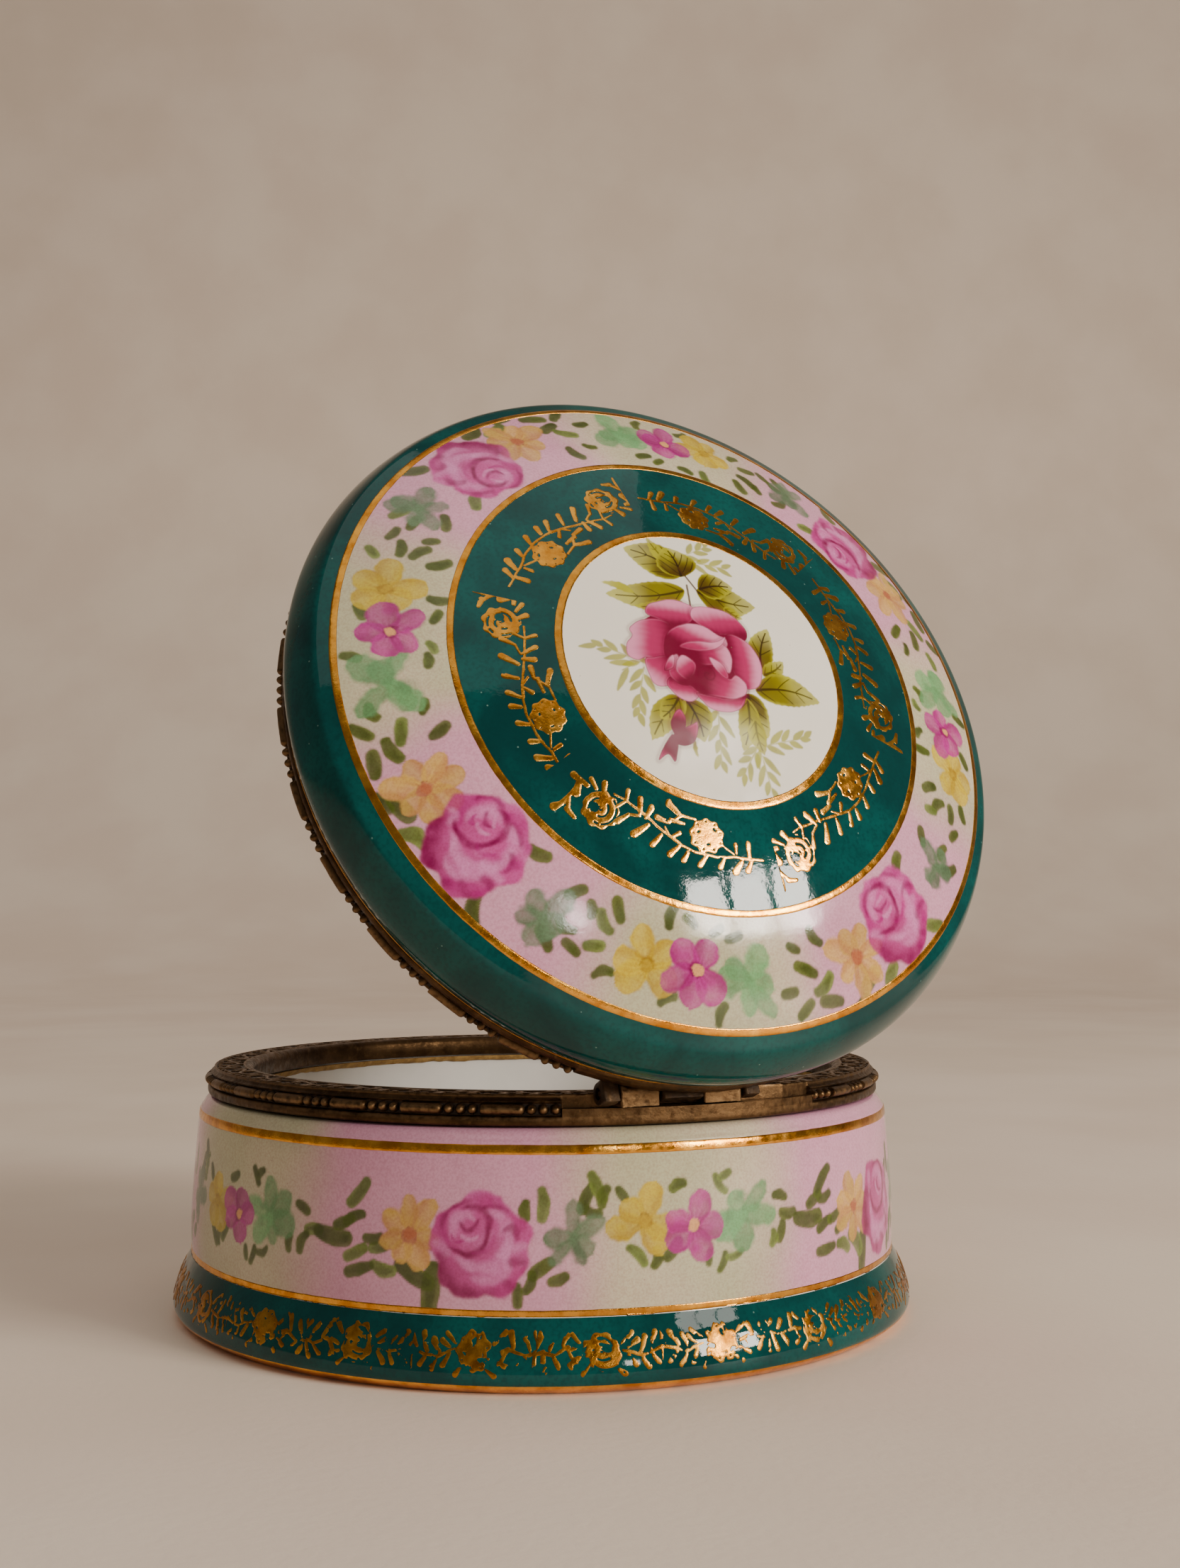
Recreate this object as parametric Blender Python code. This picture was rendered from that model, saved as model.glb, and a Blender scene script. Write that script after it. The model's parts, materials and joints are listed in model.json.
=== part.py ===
"""Powder jar: a round hinged porcelain box with brass collars, standing with its lid open.

The outlines are in millimetres about the jar's own upright axis, and the meshes are in metres. The hinge is
towards +Y. Angles around the jar are measured from the hinge. The lid's pieces are drawn closed and hang from an
empty on the hinge axis, which turns them open.
"""

import math

import bmesh
import bpy

MM = 0.001
GAP = 0.3  # clearance between neighbouring pieces

# Placing: the origin is the middle of the open jar's footprint, so the jar's axis stands in front of it
AXIS_Y = -3.5
OPEN_ANGLE = 66.5

# Collars: depths are measured from the parting plane, down on the base and up on the lid
PARTING_Z = 36.95
RIM_DEPTH = GAP / 2
SKIRT_DEPTH = 4.2
SKIRT_RADIUS = 51.9
ROW_RADIUS = 52.4  # crest of the ornamental row
GROOVE_RADIUS = 51.4
BORE_RADIUS = 45.1  # inside of the flange
LIP_INNER = 46.2  # the porcelain lip that the collar clasps
LIP_OUTER = 48.0
LIP_DEPTH = 1.5
FLANGE_DEPTH = 3.3

# Porcelain
FOOT_RADIUS = 56.5
WAIST_Z = 9.3  # crease between the foot and the wall
WAIST_RADIUS = 54.0
UNDERSIDE_Z = 1.8
FLOOR_Z = 6.2
DOME_HEIGHT = 26.0  # crown above the parting plane

# Hinge
HINGE_Y = 50.8
PLAIN_HALF_ANGLE = 21.5  # half of the stretch of collar without ornament
LEDGE_DEPTH = 1.95
PLAIN_RADIUS = 50.9
CHORD_Y = 49.0  # flat wall behind the knuckles
KNUCKLE_RADIUS = 1.5
KNUCKLE_BORE = 0.8
KNUCKLE_FOOT = LEDGE_DEPTH - GAP
PIN_RADIUS = 0.5
HINGE_SHIFT = 3.5  # the knuckles sit this far towards +X in their plain stretch
BASE_KNUCKLE = (3.3, 8.9)  # near and far end along the hinge, from its own middle
LID_KNUCKLE = (9.2, 11.5)
MIDDLE_HALF = 2.95

STEPS = 60  # sides of the turned pieces

PORCELAIN = ("porcelain", (0.60, 0.42, 0.46), 0.15, 0.0)
TEAL_PORCELAIN = ("teal_porcelain", (0.006, 0.06, 0.055), 0.12, 0.0)
BRASS = ("aged_brass", (0.16, 0.10, 0.055), 0.45, 1.0)
CEMENT = ("cement", (0.38, 0.26, 0.09), 0.8, 0.0)


def clear_scene():
    for obj in list(bpy.data.objects):
        bpy.data.objects.remove(obj, do_unlink=True)


def principled(name, colour, roughness, metallic):
    material = bpy.data.materials.new(name)
    material.use_nodes = True
    shader = material.node_tree.nodes["Principled BSDF"]
    shader.inputs["Base Color"].default_value = (*colour, 1.0)
    shader.inputs["Roughness"].default_value = roughness
    shader.inputs["Metallic"].default_value = metallic
    return material


def empty(name, location):
    obj = bpy.data.objects.new(name, None)
    obj.location = [value * MM for value in location]
    bpy.context.collection.objects.link(obj)
    return obj


def finish(name, bm, look, parent, offset):
    """Close the mesh outwards, shade it smooth up to 35 degrees and hang it from its parent."""
    bm.normal_update()
    bmesh.ops.recalc_face_normals(bm, faces=bm.faces)
    bmesh.ops.scale(bm, vec=(MM, MM, MM), verts=bm.verts)
    mesh = bpy.data.meshes.new(name)
    bm.to_mesh(mesh)
    bm.free()
    mesh.shade_smooth()
    mesh.set_sharp_from_angle(angle=math.radians(35))
    mesh.materials.append(principled(f"{name}_{look[0]}", *look[1:]))
    obj = bpy.data.objects.new(name, mesh)
    obj.parent = parent
    obj.location = [value * MM for value in offset]
    bpy.context.collection.objects.link(obj)
    return obj


def smooth(points, cuts):
    """A Catmull-Rom curve through the points, with `cuts` steps to each stretch."""
    ends = [points[0], *points, points[-1]]
    curve = []
    for before, start, stop, after in zip(ends, ends[1:], ends[2:], ends[3:]):
        for step in range(cuts):
            t = step / cuts
            curve.append(tuple(
                0.5 * (2 * b + (c - a) * t + (2 * a - 5 * b + 4 * c - d) * t**2 + (3 * b - a - 3 * c + d) * t**3)
                for a, b, c, d in zip(before, start, stop, after)))
    return curve + [points[-1]]


def turned(name, outline_at, angles, look, parent, offset=(0, 0, 0)):
    """Skin the (radius, height) outlines that outline_at gives at each angle from the hinge.

    An outline that starts and ends on the axis closes there, and any other joins its end to its start.
    """
    bm = bmesh.new()
    poles = {}
    columns = []
    for angle in angles:
        turn = math.radians(angle)
        column = []
        for radius, height in outline_at(angle):
            if radius > 0:
                column.append(bm.verts.new((radius * math.sin(turn), radius * math.cos(turn), height)))
                continue
            if height not in poles:
                poles[height] = bm.verts.new((0, 0, height))
            column.append(poles[height])
        columns.append(column)
    last = len(columns[0]) - (1 if poles else 0)
    for here, there in zip(columns, columns[1:] + columns[:1]):
        for low in range(last):
            high = (low + 1) % len(here)
            corners = [here[low], there[low], there[high], here[high]]
            bm.faces.new(dict.fromkeys(corners))
    return finish(name, bm, look, parent, offset)


def even_angles():
    return [360 * step / STEPS for step in range(STEPS)]


def bowl_outline(_angle):
    foot = smooth([(54.4, 0), (FOOT_RADIUS, 1.8), (55.7, 5.8), (WAIST_RADIUS, WAIST_Z)], 2)
    shoulder_z = PARTING_Z - SKIRT_DEPTH - GAP
    wall = smooth([(53.95, 9.9), (54.05, 16), (53.2, 28.8), (52.5, 31.3), (51.3, shoulder_z)], 2)
    inside = smooth([(LIP_INNER, 29), (46.9, 20), (45.2, 9.8), (37, FLOOR_Z)], 2)
    return [
        (0, UNDERSIDE_Z), (47.5, UNDERSIDE_Z), (49.5, 0),
        *foot, *wall,
        (LIP_OUTER, shoulder_z), (LIP_OUTER, PARTING_Z - LIP_DEPTH), (LIP_INNER, PARTING_Z - LIP_DEPTH),
        *inside, (0, FLOOR_Z),
    ]


def dome_outline(_angle):
    shoulder = SKIRT_DEPTH + GAP
    side = smooth([(51.6, shoulder), (52.9, 8.6), (51.3, 13.1)], 2)
    crown = smooth([(49.2, 14.8), (42.5, 17.9), (34.8, 20.5), (21.7, 23.5), (0, DOME_HEIGHT)], 2)
    inside = smooth([(0, 21.8), (23, 19.2), (38.5, 14.2), (LIP_INNER, 4)], 2)
    lip = [(LIP_INNER, LIP_DEPTH), (LIP_OUTER, LIP_DEPTH), (LIP_OUTER, shoulder)]
    return [(radius, PARTING_Z + height) for radius, height in inside + lip + side + crown]


def collar_angles():
    """Even steps, with a sharp change at each end of the plain stretch and at the corners of the flat wall."""
    corner = math.degrees(math.acos(CHORD_Y / PLAIN_RADIUS))
    extra = [sign * value for sign in (-1, 1) for value in (corner, PLAIN_HALF_ANGLE, PLAIN_HALF_ANGLE + 0.3)]
    steps = [-180 + 360 * step / STEPS for step in range(STEPS)]
    kept = [angle for angle in steps if all(abs(angle - other) > 1 for other in extra)]
    return sorted(kept + extra)


def collar_outline(angle):
    """Section of a collar as (radius, depth from the parting plane)."""
    if abs(angle) < PLAIN_HALF_ANGLE + 0.1:
        wall = min(PLAIN_RADIUS, CHORD_Y / math.cos(math.radians(angle)))
        face = [
            (SKIRT_RADIUS, 3.0), (SKIRT_RADIUS, LEDGE_DEPTH), (wall, LEDGE_DEPTH), (wall, 1.7),
            (wall, 1.3), (wall, 1.0), (wall, 0.6), (min(50.7, wall), RIM_DEPTH),
        ]
    else:
        face = [
            (SKIRT_RADIUS, 3.0), (GROOVE_RADIUS, 2.75), (52.2, 2.5), (ROW_RADIUS, 2.05),
            (52.2, 1.6), (GROOVE_RADIUS, 1.35), (51.1, 0.6), (50.7, RIM_DEPTH),
        ]
    cavity_outer = LIP_OUTER + GAP
    cavity_inner = LIP_INNER - GAP
    cavity_depth = LIP_DEPTH - GAP
    return [
        (cavity_outer, SKIRT_DEPTH), (51.6, SKIRT_DEPTH), (SKIRT_RADIUS, 3.85), *face,
        (46.0, RIM_DEPTH), (45.3, 0.5), (BORE_RADIUS, 1.1), (BORE_RADIUS, FLANGE_DEPTH),
        (cavity_inner, FLANGE_DEPTH), (cavity_inner, cavity_depth), (cavity_outer, cavity_depth),
    ]


def cement_outline(_angle):
    """Bead of cement under the flange, against the porcelain's inner wall."""
    near = FLANGE_DEPTH + GAP
    outer = LIP_INNER - GAP
    return [(outer, near), (outer, near + 0.9), (outer - 0.35, near + 0.7), (45.15, near)]


def at_base(outline_at):
    return lambda angle: [(radius, PARTING_Z - depth) for radius, depth in outline_at(angle)]


def at_lid(outline_at):
    return lambda angle: [(radius, PARTING_Z + depth) for radius, depth in outline_at(angle)]


def knuckle(name, start, stop, side, parent, offset=(0, 0, 0)):
    """A tube along the hinge with a square foot; side is -1 with the foot down and 1 with the foot up."""
    corner = math.degrees(math.atan2(KNUCKLE_FOOT, KNUCKLE_RADIUS))
    round_side = [20 * step for step in range(10)]
    foot_side = [-180 + corner / 2, -180 + corner, -110, -90, -70, -corner, -corner / 2]
    bm = bmesh.new()
    rings = {"outer": [[], []], "bore": [[], []]}
    for angle in foot_side + round_side:
        turn = math.radians(angle)
        reach = KNUCKLE_RADIUS
        if angle < 0:
            reach = min(KNUCKLE_RADIUS / abs(math.cos(turn)), KNUCKLE_FOOT / abs(math.sin(turn)))
        for ring, radius in (("outer", reach), ("bore", KNUCKLE_BORE)):
            y = HINGE_Y + radius * math.cos(turn)
            z = PARTING_Z - side * radius * math.sin(turn)
            for end, x in enumerate((start, stop)):
                rings[ring][end].append(bm.verts.new((HINGE_SHIFT + x, y, z)))
    outer, bore = rings["outer"], rings["bore"]
    for first, second in ((outer[0], outer[1]), (bore[0], bore[1]), (outer[0], bore[0]), (outer[1], bore[1])):
        for here in range(len(first)):
            there = (here + 1) % len(first)
            bm.faces.new((first[here], first[there], second[there], second[here]))
    return finish(name, bm, BRASS, parent, offset)


def hinge_pin(parent):
    """A rod with its end edges taken off, just short of the outer knuckles' faces."""
    bm = bmesh.new()
    length = 2 * LID_KNUCKLE[1] - 0.4
    bmesh.ops.create_cone(bm, cap_ends=True, segments=16, radius1=PIN_RADIUS, radius2=PIN_RADIUS, depth=length)
    rims = [edge for edge in bm.edges if abs(edge.verts[0].co.z - edge.verts[1].co.z) < 1e-6]
    bmesh.ops.bevel(bm, geom=rims, offset=0.15, segments=1, affect="EDGES")
    for vertex in bm.verts:
        vertex.co = (HINGE_SHIFT + vertex.co.z, HINGE_Y + vertex.co.y, PARTING_Z - vertex.co.x)
    return finish("hinge_pin", bm, BRASS, parent, (0, 0, 0))


def main():
    clear_scene()
    jar = empty("jar_axis", (0, AXIS_Y, 0))
    hinge = empty("lid_hinge_axis", (0, HINGE_Y, PARTING_Z))
    hinge.parent = jar
    hinge.rotation_euler.x = -math.radians(OPEN_ANGLE)
    hung = (0, -HINGE_Y, -PARTING_Z)

    turned("base_bowl", bowl_outline, even_angles(), PORCELAIN, jar)
    turned("base_collar", at_base(collar_outline), collar_angles(), BRASS, jar)
    turned("base_cement_ring", at_base(cement_outline), even_angles(), CEMENT, jar)
    near, far = BASE_KNUCKLE
    knuckle("base_knuckle_left", near, far, -1, jar)
    knuckle("base_knuckle_right", -far, -near, -1, jar)
    hinge_pin(jar)

    turned("lid_dome", dome_outline, even_angles(), TEAL_PORCELAIN, hinge, hung)
    turned("lid_collar", at_lid(collar_outline), collar_angles(), BRASS, hinge, hung)
    turned("lid_cement_ring", at_lid(cement_outline), even_angles(), CEMENT, hinge, hung)
    near, far = LID_KNUCKLE
    knuckle("lid_knuckle_left", near, far, 1, hinge, hung)
    knuckle("lid_knuckle_middle", -MIDDLE_HALF, MIDDLE_HALF, 1, hinge, hung)
    knuckle("lid_knuckle_right", -far, -near, 1, hinge, hung)


main()
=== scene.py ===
"""Looks for the powder jar: painted and gilded porcelain, enamel, aged brass collars and a small studio.

Shapes are drawn in millimetres about the jar's axis. Heights are from the table on the base, and from the
parting plane on the lid, which is drawn closed and then swung open. Angles are degrees round the jar from the
hinge, towards +X. Widths and lengths of painted marks are in millimetres.
"""

import json
import math

import bpy
import numpy as np
from mathutils import Matrix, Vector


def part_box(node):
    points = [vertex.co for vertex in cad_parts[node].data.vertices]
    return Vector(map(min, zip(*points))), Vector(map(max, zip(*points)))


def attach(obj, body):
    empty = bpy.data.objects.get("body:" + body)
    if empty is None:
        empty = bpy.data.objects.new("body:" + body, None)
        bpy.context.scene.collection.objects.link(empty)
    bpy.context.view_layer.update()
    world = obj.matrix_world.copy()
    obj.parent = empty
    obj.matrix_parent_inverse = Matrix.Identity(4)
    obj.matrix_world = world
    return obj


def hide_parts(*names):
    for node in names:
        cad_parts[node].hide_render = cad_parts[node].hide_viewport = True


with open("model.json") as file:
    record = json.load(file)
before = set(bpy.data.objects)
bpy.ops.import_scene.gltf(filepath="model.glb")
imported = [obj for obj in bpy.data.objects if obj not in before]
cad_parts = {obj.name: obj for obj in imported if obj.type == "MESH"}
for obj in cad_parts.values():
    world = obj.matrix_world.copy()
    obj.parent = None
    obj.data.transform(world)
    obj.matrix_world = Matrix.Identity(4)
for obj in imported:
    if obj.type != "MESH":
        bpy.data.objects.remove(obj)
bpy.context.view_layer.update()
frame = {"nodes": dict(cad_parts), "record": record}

MM = 0.001
HINGE = frame["record"]["behaviour"]["joints"][0]
OPEN = -math.radians(HINGE["range_deg"][0])
AXIS_Y = (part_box("base_bowl")[0][1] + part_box("base_bowl")[1][1]) / 2 / MM
HINGE_X, HINGE_Y = HINGE["pos_m"][0] / MM, HINGE["pos_m"][1] / MM - AXIS_Y
PARTING_Z = HINGE["pos_m"][2] / MM

# ---------------------------------------------------------------- numbers and noise


def smoothstep(low, high, value):
    t = np.clip((value - low) / (high - low), 0.0, 1.0)
    return t * t * (3 - 2 * t)


def colour(red, green, blue):
    """A colour given on the 0-255 screen scale, as linear light."""
    value = np.array([red, green, blue]) / 255
    return np.where(value > 0.04045, ((value + 0.055) / 1.055) ** 2.4, value / 12.92)


def noise(points, size, seed, octaves=2):
    """Smooth value noise from -1 to 1 at the points, with bumps about `size` mm across."""
    table = np.random.default_rng(seed).random((32, 32, 32))
    total = np.zeros(len(points))
    weight = 1.0
    for octave in range(octaves):
        scaled = points / size * 2**octave + 100.37 * (octave + 1)
        cell = np.floor(scaled).astype(int)
        part = scaled - cell
        part = part * part * (3 - 2 * part)
        value = 0
        for corner in range(8):
            step = np.array([corner & 1, corner >> 1 & 1, corner >> 2 & 1])
            share = np.prod(np.where(step, part, 1 - part), axis=1)
            value = value + share * table[tuple(((cell + step) % 32).T)]
        total += weight * (2 * value - 1)
        weight *= 0.5
    return total / (2 - 2 * weight)


# ---------------------------------------------------------------- meshes


def on_base(points):
    """Millimetres about the jar's axis to metres in the shared frame."""
    return (points + np.array([0, AXIS_Y, 0])) * MM


def on_lid(points):
    """The same for the lid, drawn closed with heights from the parting plane, then swung open."""
    x, y, height = points.T
    away = y - HINGE_Y
    y = AXIS_Y + HINGE_Y + away * math.cos(OPEN) + height * math.sin(OPEN)
    z = PARTING_Z - away * math.sin(OPEN) + height * math.cos(OPEN)
    return np.stack([x, y, z], axis=1) * MM


PLACES = {"base": on_base, "lid": on_lid}


def build(name, points, faces, material, body, replaces=(), paint=None, sharp=40):
    """A mesh piece from points in mm and a list of face arrays, each of one face size."""
    loops = np.concatenate([block.ravel() for block in faces])
    sizes = np.concatenate([np.full(len(block), block.shape[1]) for block in faces])
    mesh = bpy.data.meshes.new(name)
    mesh.vertices.add(len(points))
    mesh.vertices.foreach_set("co", PLACES[body](points).astype(np.float32).ravel())
    mesh.loops.add(len(loops))
    mesh.loops.foreach_set("vertex_index", loops.astype(np.int32))
    mesh.polygons.add(len(sizes))
    mesh.polygons.foreach_set("loop_start", (np.cumsum(sizes) - sizes).astype(np.int32))
    mesh.update(calc_edges=True)
    mesh.validate()
    mesh.shade_smooth()
    mesh.set_sharp_from_angle(angle=math.radians(sharp))
    if paint is not None:
        layer = mesh.color_attributes.new("paint", "FLOAT_COLOR", "POINT")
        rgba = np.ones((len(points), 4), np.float32)
        rgba[:, : paint.shape[1]] = paint
        layer.data.foreach_set("color", rgba.ravel())
    mesh.materials.append(material)
    piece = bpy.data.objects.new(name, mesh)
    bpy.context.collection.objects.link(piece)
    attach(piece, body)
    if replaces:
        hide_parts(*replaces)
    return piece


def skin(rows, columns, closed=True, poles=False):
    """Faces of a grid of points, joined round the jar and, if closed, from the last row to the first.

    With poles, a point at the end of the point list closes the first row, and one more the last row.
    """
    row = np.arange(rows)[:, None]
    column = np.arange(columns)[None, :]
    there = (column + 1) % columns
    up = row[:-1] + 1
    if closed:
        up = (row + 1) % rows
    low = row[: len(up)]
    quads = np.stack(np.broadcast_arrays(
        low * columns + column, low * columns + there, up * columns + there, up * columns + column), axis=-1)
    faces = [quads.reshape(-1, 4)]
    if poles:
        first = rows * columns
        column = column[0]
        there = there[0]
        last = (rows - 1) * columns
        faces.append(np.stack([there, column, np.full(columns, first)], axis=1))
        faces.append(np.stack([last + column, last + there, np.full(columns, first + 1)], axis=1))
    return faces


def outwards(points, faces):
    """The faces, turned over if they enclose a negative volume."""
    volume = 0.0
    for block in faces:
        for corner in range(1, block.shape[1] - 1):
            a, b, c = points[block[:, 0]], points[block[:, corner]], points[block[:, corner + 1]]
            volume += np.einsum("ij,ij->i", a, np.cross(b, c)).sum()
    return faces if volume > 0 else [block[:, ::-1] for block in faces]


def wheel(radius, angle, height):
    """Points from radius, angle and height arrays of any one shape."""
    radius, angle, height = np.broadcast_arrays(radius, angle, height)
    return np.stack([radius * np.sin(angle), radius * np.cos(angle), height], axis=-1).reshape(-1, 3)


def ring_angles(steps):
    return np.arange(steps) / steps * 2 * math.pi


def spline(a, b, c, d, t):
    """The smooth curve from b to c, with a before them and d after, at shares t of the way."""
    return 0.5 * (2 * b + (c - a) * t + (2 * a - 5 * b + 4 * c - d) * t**2 + (3 * b - a - 3 * c + d) * t**3)


STEPS_PER_POINT = 60  # points drawn between two points of a profile


class Profile:
    """A smooth outline through (radius, height) points, measured by its length in mm from its start."""

    def __init__(self, points):
        ends = np.array([points[0], *points, points[-1]], float)
        t = np.linspace(0, 1, STEPS_PER_POINT, endpoint=False)[:, None]
        curve = spline(*(ends[k : len(ends) - 3 + k, None, :] for k in range(4)), t)
        self.points = np.vstack([curve.reshape(-1, 2), ends[-1:]])
        steps = np.linalg.norm(np.diff(self.points, axis=0), axis=1)
        self.length = np.concatenate([[0], np.cumsum(steps)])
        slope = np.gradient(self.points, axis=0)
        slope /= np.linalg.norm(slope, axis=1)[:, None]
        self.normal = np.stack([slope[:, 1], -slope[:, 0]], axis=1)

    def at(self, s, lift=0.0):
        """Radius and height at length s, lifted off the surface."""
        return tuple(
            np.interp(s, self.length, self.points[:, k]) + lift * np.interp(s, self.length, self.normal[:, k])
            for k in range(2))

    def find(self, axis, value):
        """Length at which the radius (axis 0) or the height (axis 1) is nearest to the value."""
        return float(self.length[np.argmin(np.abs(self.points[:, axis] - value))])


def on_profile(profile, along, lift, turn):
    """Points on a profile, lifted off its surface, at angles round the jar."""
    radius, height = profile.at(along, lift)
    return wheel(radius, turn, height)


CROWN_Z = 26  # the lid's crown above the parting plane
# Outer outlines, the same as the solids have: up the foot, up the wall, and up the lid to its crown
FOOT = Profile([(54.4, 0), (56.5, 1.8), (55.7, 5.8), (54.0, 9.3), (53.95, 9.7)])
WALL = Profile([
    (53.9, 9.3), (53.95, 9.9), (54.05, 16), (53.2, 28.8), (52.5, 31.3), (51.3, 32.45), (48.4, 32.5)])
LID = Profile([
    (48.4, 4.45), (51.4, 4.5), (52.1, 5.4), (52.9, 8.6), (51.3, 13.1), (49.2, 14.8), (42.5, 17.9),
    (34.8, 20.5), (21.7, 23.5), (11, 25.3), (0, CROWN_Z)])
BODY_COLUMNS = 240
SKIN = 0.25  # thickness of the painted and enamelled skins over the white body
OVERLAP = 0.02  # how far the white body reaches into them
BACK_ROWS = 12  # rows of points on a skin's inner side
HIDDEN_GREY = 0.6  # paint of an inner side


def strip(name, profile, start, stop, rows, columns, material, body, painter=None):
    """A closed skin over part of a profile, with its inner side on the white body."""
    s = np.linspace(start, stop, rows)
    turn = ring_angles(columns)
    radius, height = profile.at(s[:, None] + 0 * turn)
    back = np.linspace(stop, start, BACK_ROWS)
    back_radius, back_height = profile.at(back[:, None] + 0 * turn, -SKIN)
    points = wheel(np.vstack([radius, back_radius]), turn, np.vstack([height, back_height]))
    faces = outwards(points, skin(rows + BACK_ROWS, columns))
    paint = None
    if painter:
        top = rows * columns
        paint = np.full((len(points), 3), HIDDEN_GREY)
        angle = np.broadcast_to(turn, radius.shape)
        paint[:top] = painter(angle.ravel(), radius.ravel(), height.ravel(), points[:top])
    return build(name, points, faces, material, body, paint=paint)


def turned_body(outline, body, node):
    """The white body, turned from an outline that starts and ends on the axis."""
    inner = np.array(outline[1:-1], float)
    turn = ring_angles(BODY_COLUMNS)
    points = wheel(inner[:, :1], turn, inner[:, 1:])
    ends = np.array([[0, 0, outline[0][1]], [0, 0, outline[-1][1]]], float)
    points = np.vstack([points, ends])
    faces = outwards(points, skin(len(inner), BODY_COLUMNS, closed=False, poles=True))
    name = f"{body}_porcelain"
    return build(name, points, faces, WHITE, body, (node,))


LINE_COLUMNS = 1440
LINE_ACROSS = (-1, -0.94, -0.8, -0.5, 0, 0.5, 0.8, 0.94, 1)  # rows of a gold line, in half widths
LINE_UNDER = (0.97, -0.97)
LINE_SWAY, LINE_WOBBLE, LINE_RIPPLE = 0.05, 0.035, 0.01  # how uneven its edges and its height are
NOISE_RADIUS = 50.0  # noise for a line round the jar is read along a circle of this radius


def gold_line(name, profile, start, stop, body, seed, lift=0.07):
    """A hand-drawn gold line round the jar, a little proud and a little uneven at both edges."""
    turn = ring_angles(LINE_COLUMNS)
    edge = wheel(NOISE_RADIUS, turn, 0.0)
    sway, other_sway = (
        LINE_SWAY * noise(edge, wide, seed + k) + LINE_WOBBLE * noise(edge, fine, seed + k + 1)
        for k, wide, fine in ((0, 9.0, 1.3), (2, 8.0, 1.1)))
    across = np.array(LINE_ACROSS)[:, None]
    middle = (start + stop) / 2 + (sway + other_sway) / 2
    half = (stop - start) / 2 + (sway - other_sway) / 2
    top = np.clip(middle + across * half, 0, profile.length[-1])
    ripple = LINE_RIPPLE * noise(wheel(NOISE_RADIUS, turn, 0 * turn + 5), 2.5, seed + 4)
    rise = lift * (1 - across**4) ** 0.5 + ripple
    under = np.clip(middle + np.array(LINE_UNDER)[:, None] * half, 0, profile.length[-1])
    points = np.vstack([on_profile(profile, top, rise, turn), on_profile(profile, under, -0.12, turn)])
    faces = outwards(points, skin(len(LINE_ACROSS + LINE_UNDER), LINE_COLUMNS))
    return build(name, points, faces, LINE_GOLD, body, sharp=60)


# Gilding: its rim above the surface, how much more its middle rises, and its underside
GOLD_LOW, GOLD_SWELL, GOLD_ROOT = 0.03, 0.035, -0.1


def gilding(name, profile, start, stop, rows, columns, field_at, material, body, seed, whole):
    """Raised gold wherever field_at is negative, cut from a fine grid along the field's zero line.

    The lower `whole` is, the more of it is worn away.
    """
    s = np.linspace(start, stop, rows)[:, None]
    turn = ring_angles(columns)
    radius, height = profile.at(s + 0 * turn)
    surface = wheel(radius, turn, height)
    field = field_at(np.broadcast_to(turn, radius.shape), radius, height)
    ragged = 0.05 * noise(surface, 0.45, seed).reshape(field.shape)
    worn = noise(surface, 0.8, seed + 1, 3).reshape(field.shape)
    field = field + ragged + 0.4 * smoothstep(whole, whole + 0.2, worn)
    field[[0, -1]] = 1.0
    columns_next = np.roll(np.arange(columns), -1)
    index = np.arange(rows * columns).reshape(rows, columns)
    corner = [index[:-1], index[:-1][:, columns_next], index[1:][:, columns_next], index[1:]]
    flat = field.ravel()
    inside = [flat[c] < 0 for c in corner]
    code = sum(inside[k].astype(int) << k for k in range(4))
    count = rows * columns
    # An edge point is numbered by its lower grid point, plus one count along the row or two up the column
    edges = [count + corner[0], 2 * count + corner[1], count + corner[3], 2 * count + corner[0]]
    faces, walls = [], []
    for case in range(1, 16):
        cells = code == case
        if not cells.any():
            continue
        ring = []
        leaving = []
        for k in range(4):
            here, after = case >> k & 1, case >> (k + 1) % 4 & 1
            if here:
                ring.append(("c", k))
            if here != after:
                ring.append(("e", k))
                leaving.append((k, here))
        faces.append(np.stack([(corner if kind == "c" else edges)[k][cells] for kind, k in ring], axis=1))
        exits = [k for k, here in leaving if here]
        entries = [k for k, here in leaving if not here]
        for k in exits:
            pair = min(entries, key=lambda other: (other - k) % 4)
            walls.append(np.stack([edges[k][cells], edges[pair][cells]], axis=1))
    used = np.unique(np.concatenate([block.ravel() for block in faces]))
    where = np.zeros(3 * count, int)
    where[used] = np.arange(len(used))
    kind, grid = used // count, used % count
    line, column = grid // columns, grid % columns
    column_2, line_2 = (column + 1) % columns, np.minimum(line + 1, rows - 1)
    start_value = flat[grid]
    stop_value = np.where(kind == 1, flat[line * columns + column_2], flat[line_2 * columns + column])
    share = np.where(kind == 0, 0, start_value / (start_value - stop_value + 1e-12))
    angle = (column + share * (kind == 1)) / columns * 2 * math.pi
    along = s[line, 0] + share * (kind == 2) * (s[1, 0] - s[0, 0])
    depth = np.where(kind == 0, -start_value, 0)
    rise = GOLD_LOW + GOLD_SWELL * np.sqrt(smoothstep(0, 0.22, depth))
    points = np.vstack([on_profile(profile, along, lift, angle) for lift in (rise, GOLD_ROOT)])
    upper = [where[block] for block in faces]
    lower = [where[block][:, ::-1] + len(used) for block in faces]
    sides = where[np.concatenate(walls)]
    sides = np.stack([sides[:, 1], sides[:, 0], sides[:, 0] + len(used), sides[:, 1] + len(used)], axis=1)
    faces = outwards(points, upper + lower + [sides])
    return build(name, points, faces, material, body, sharp=50)


# ---------------------------------------------------------------- materials


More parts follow.
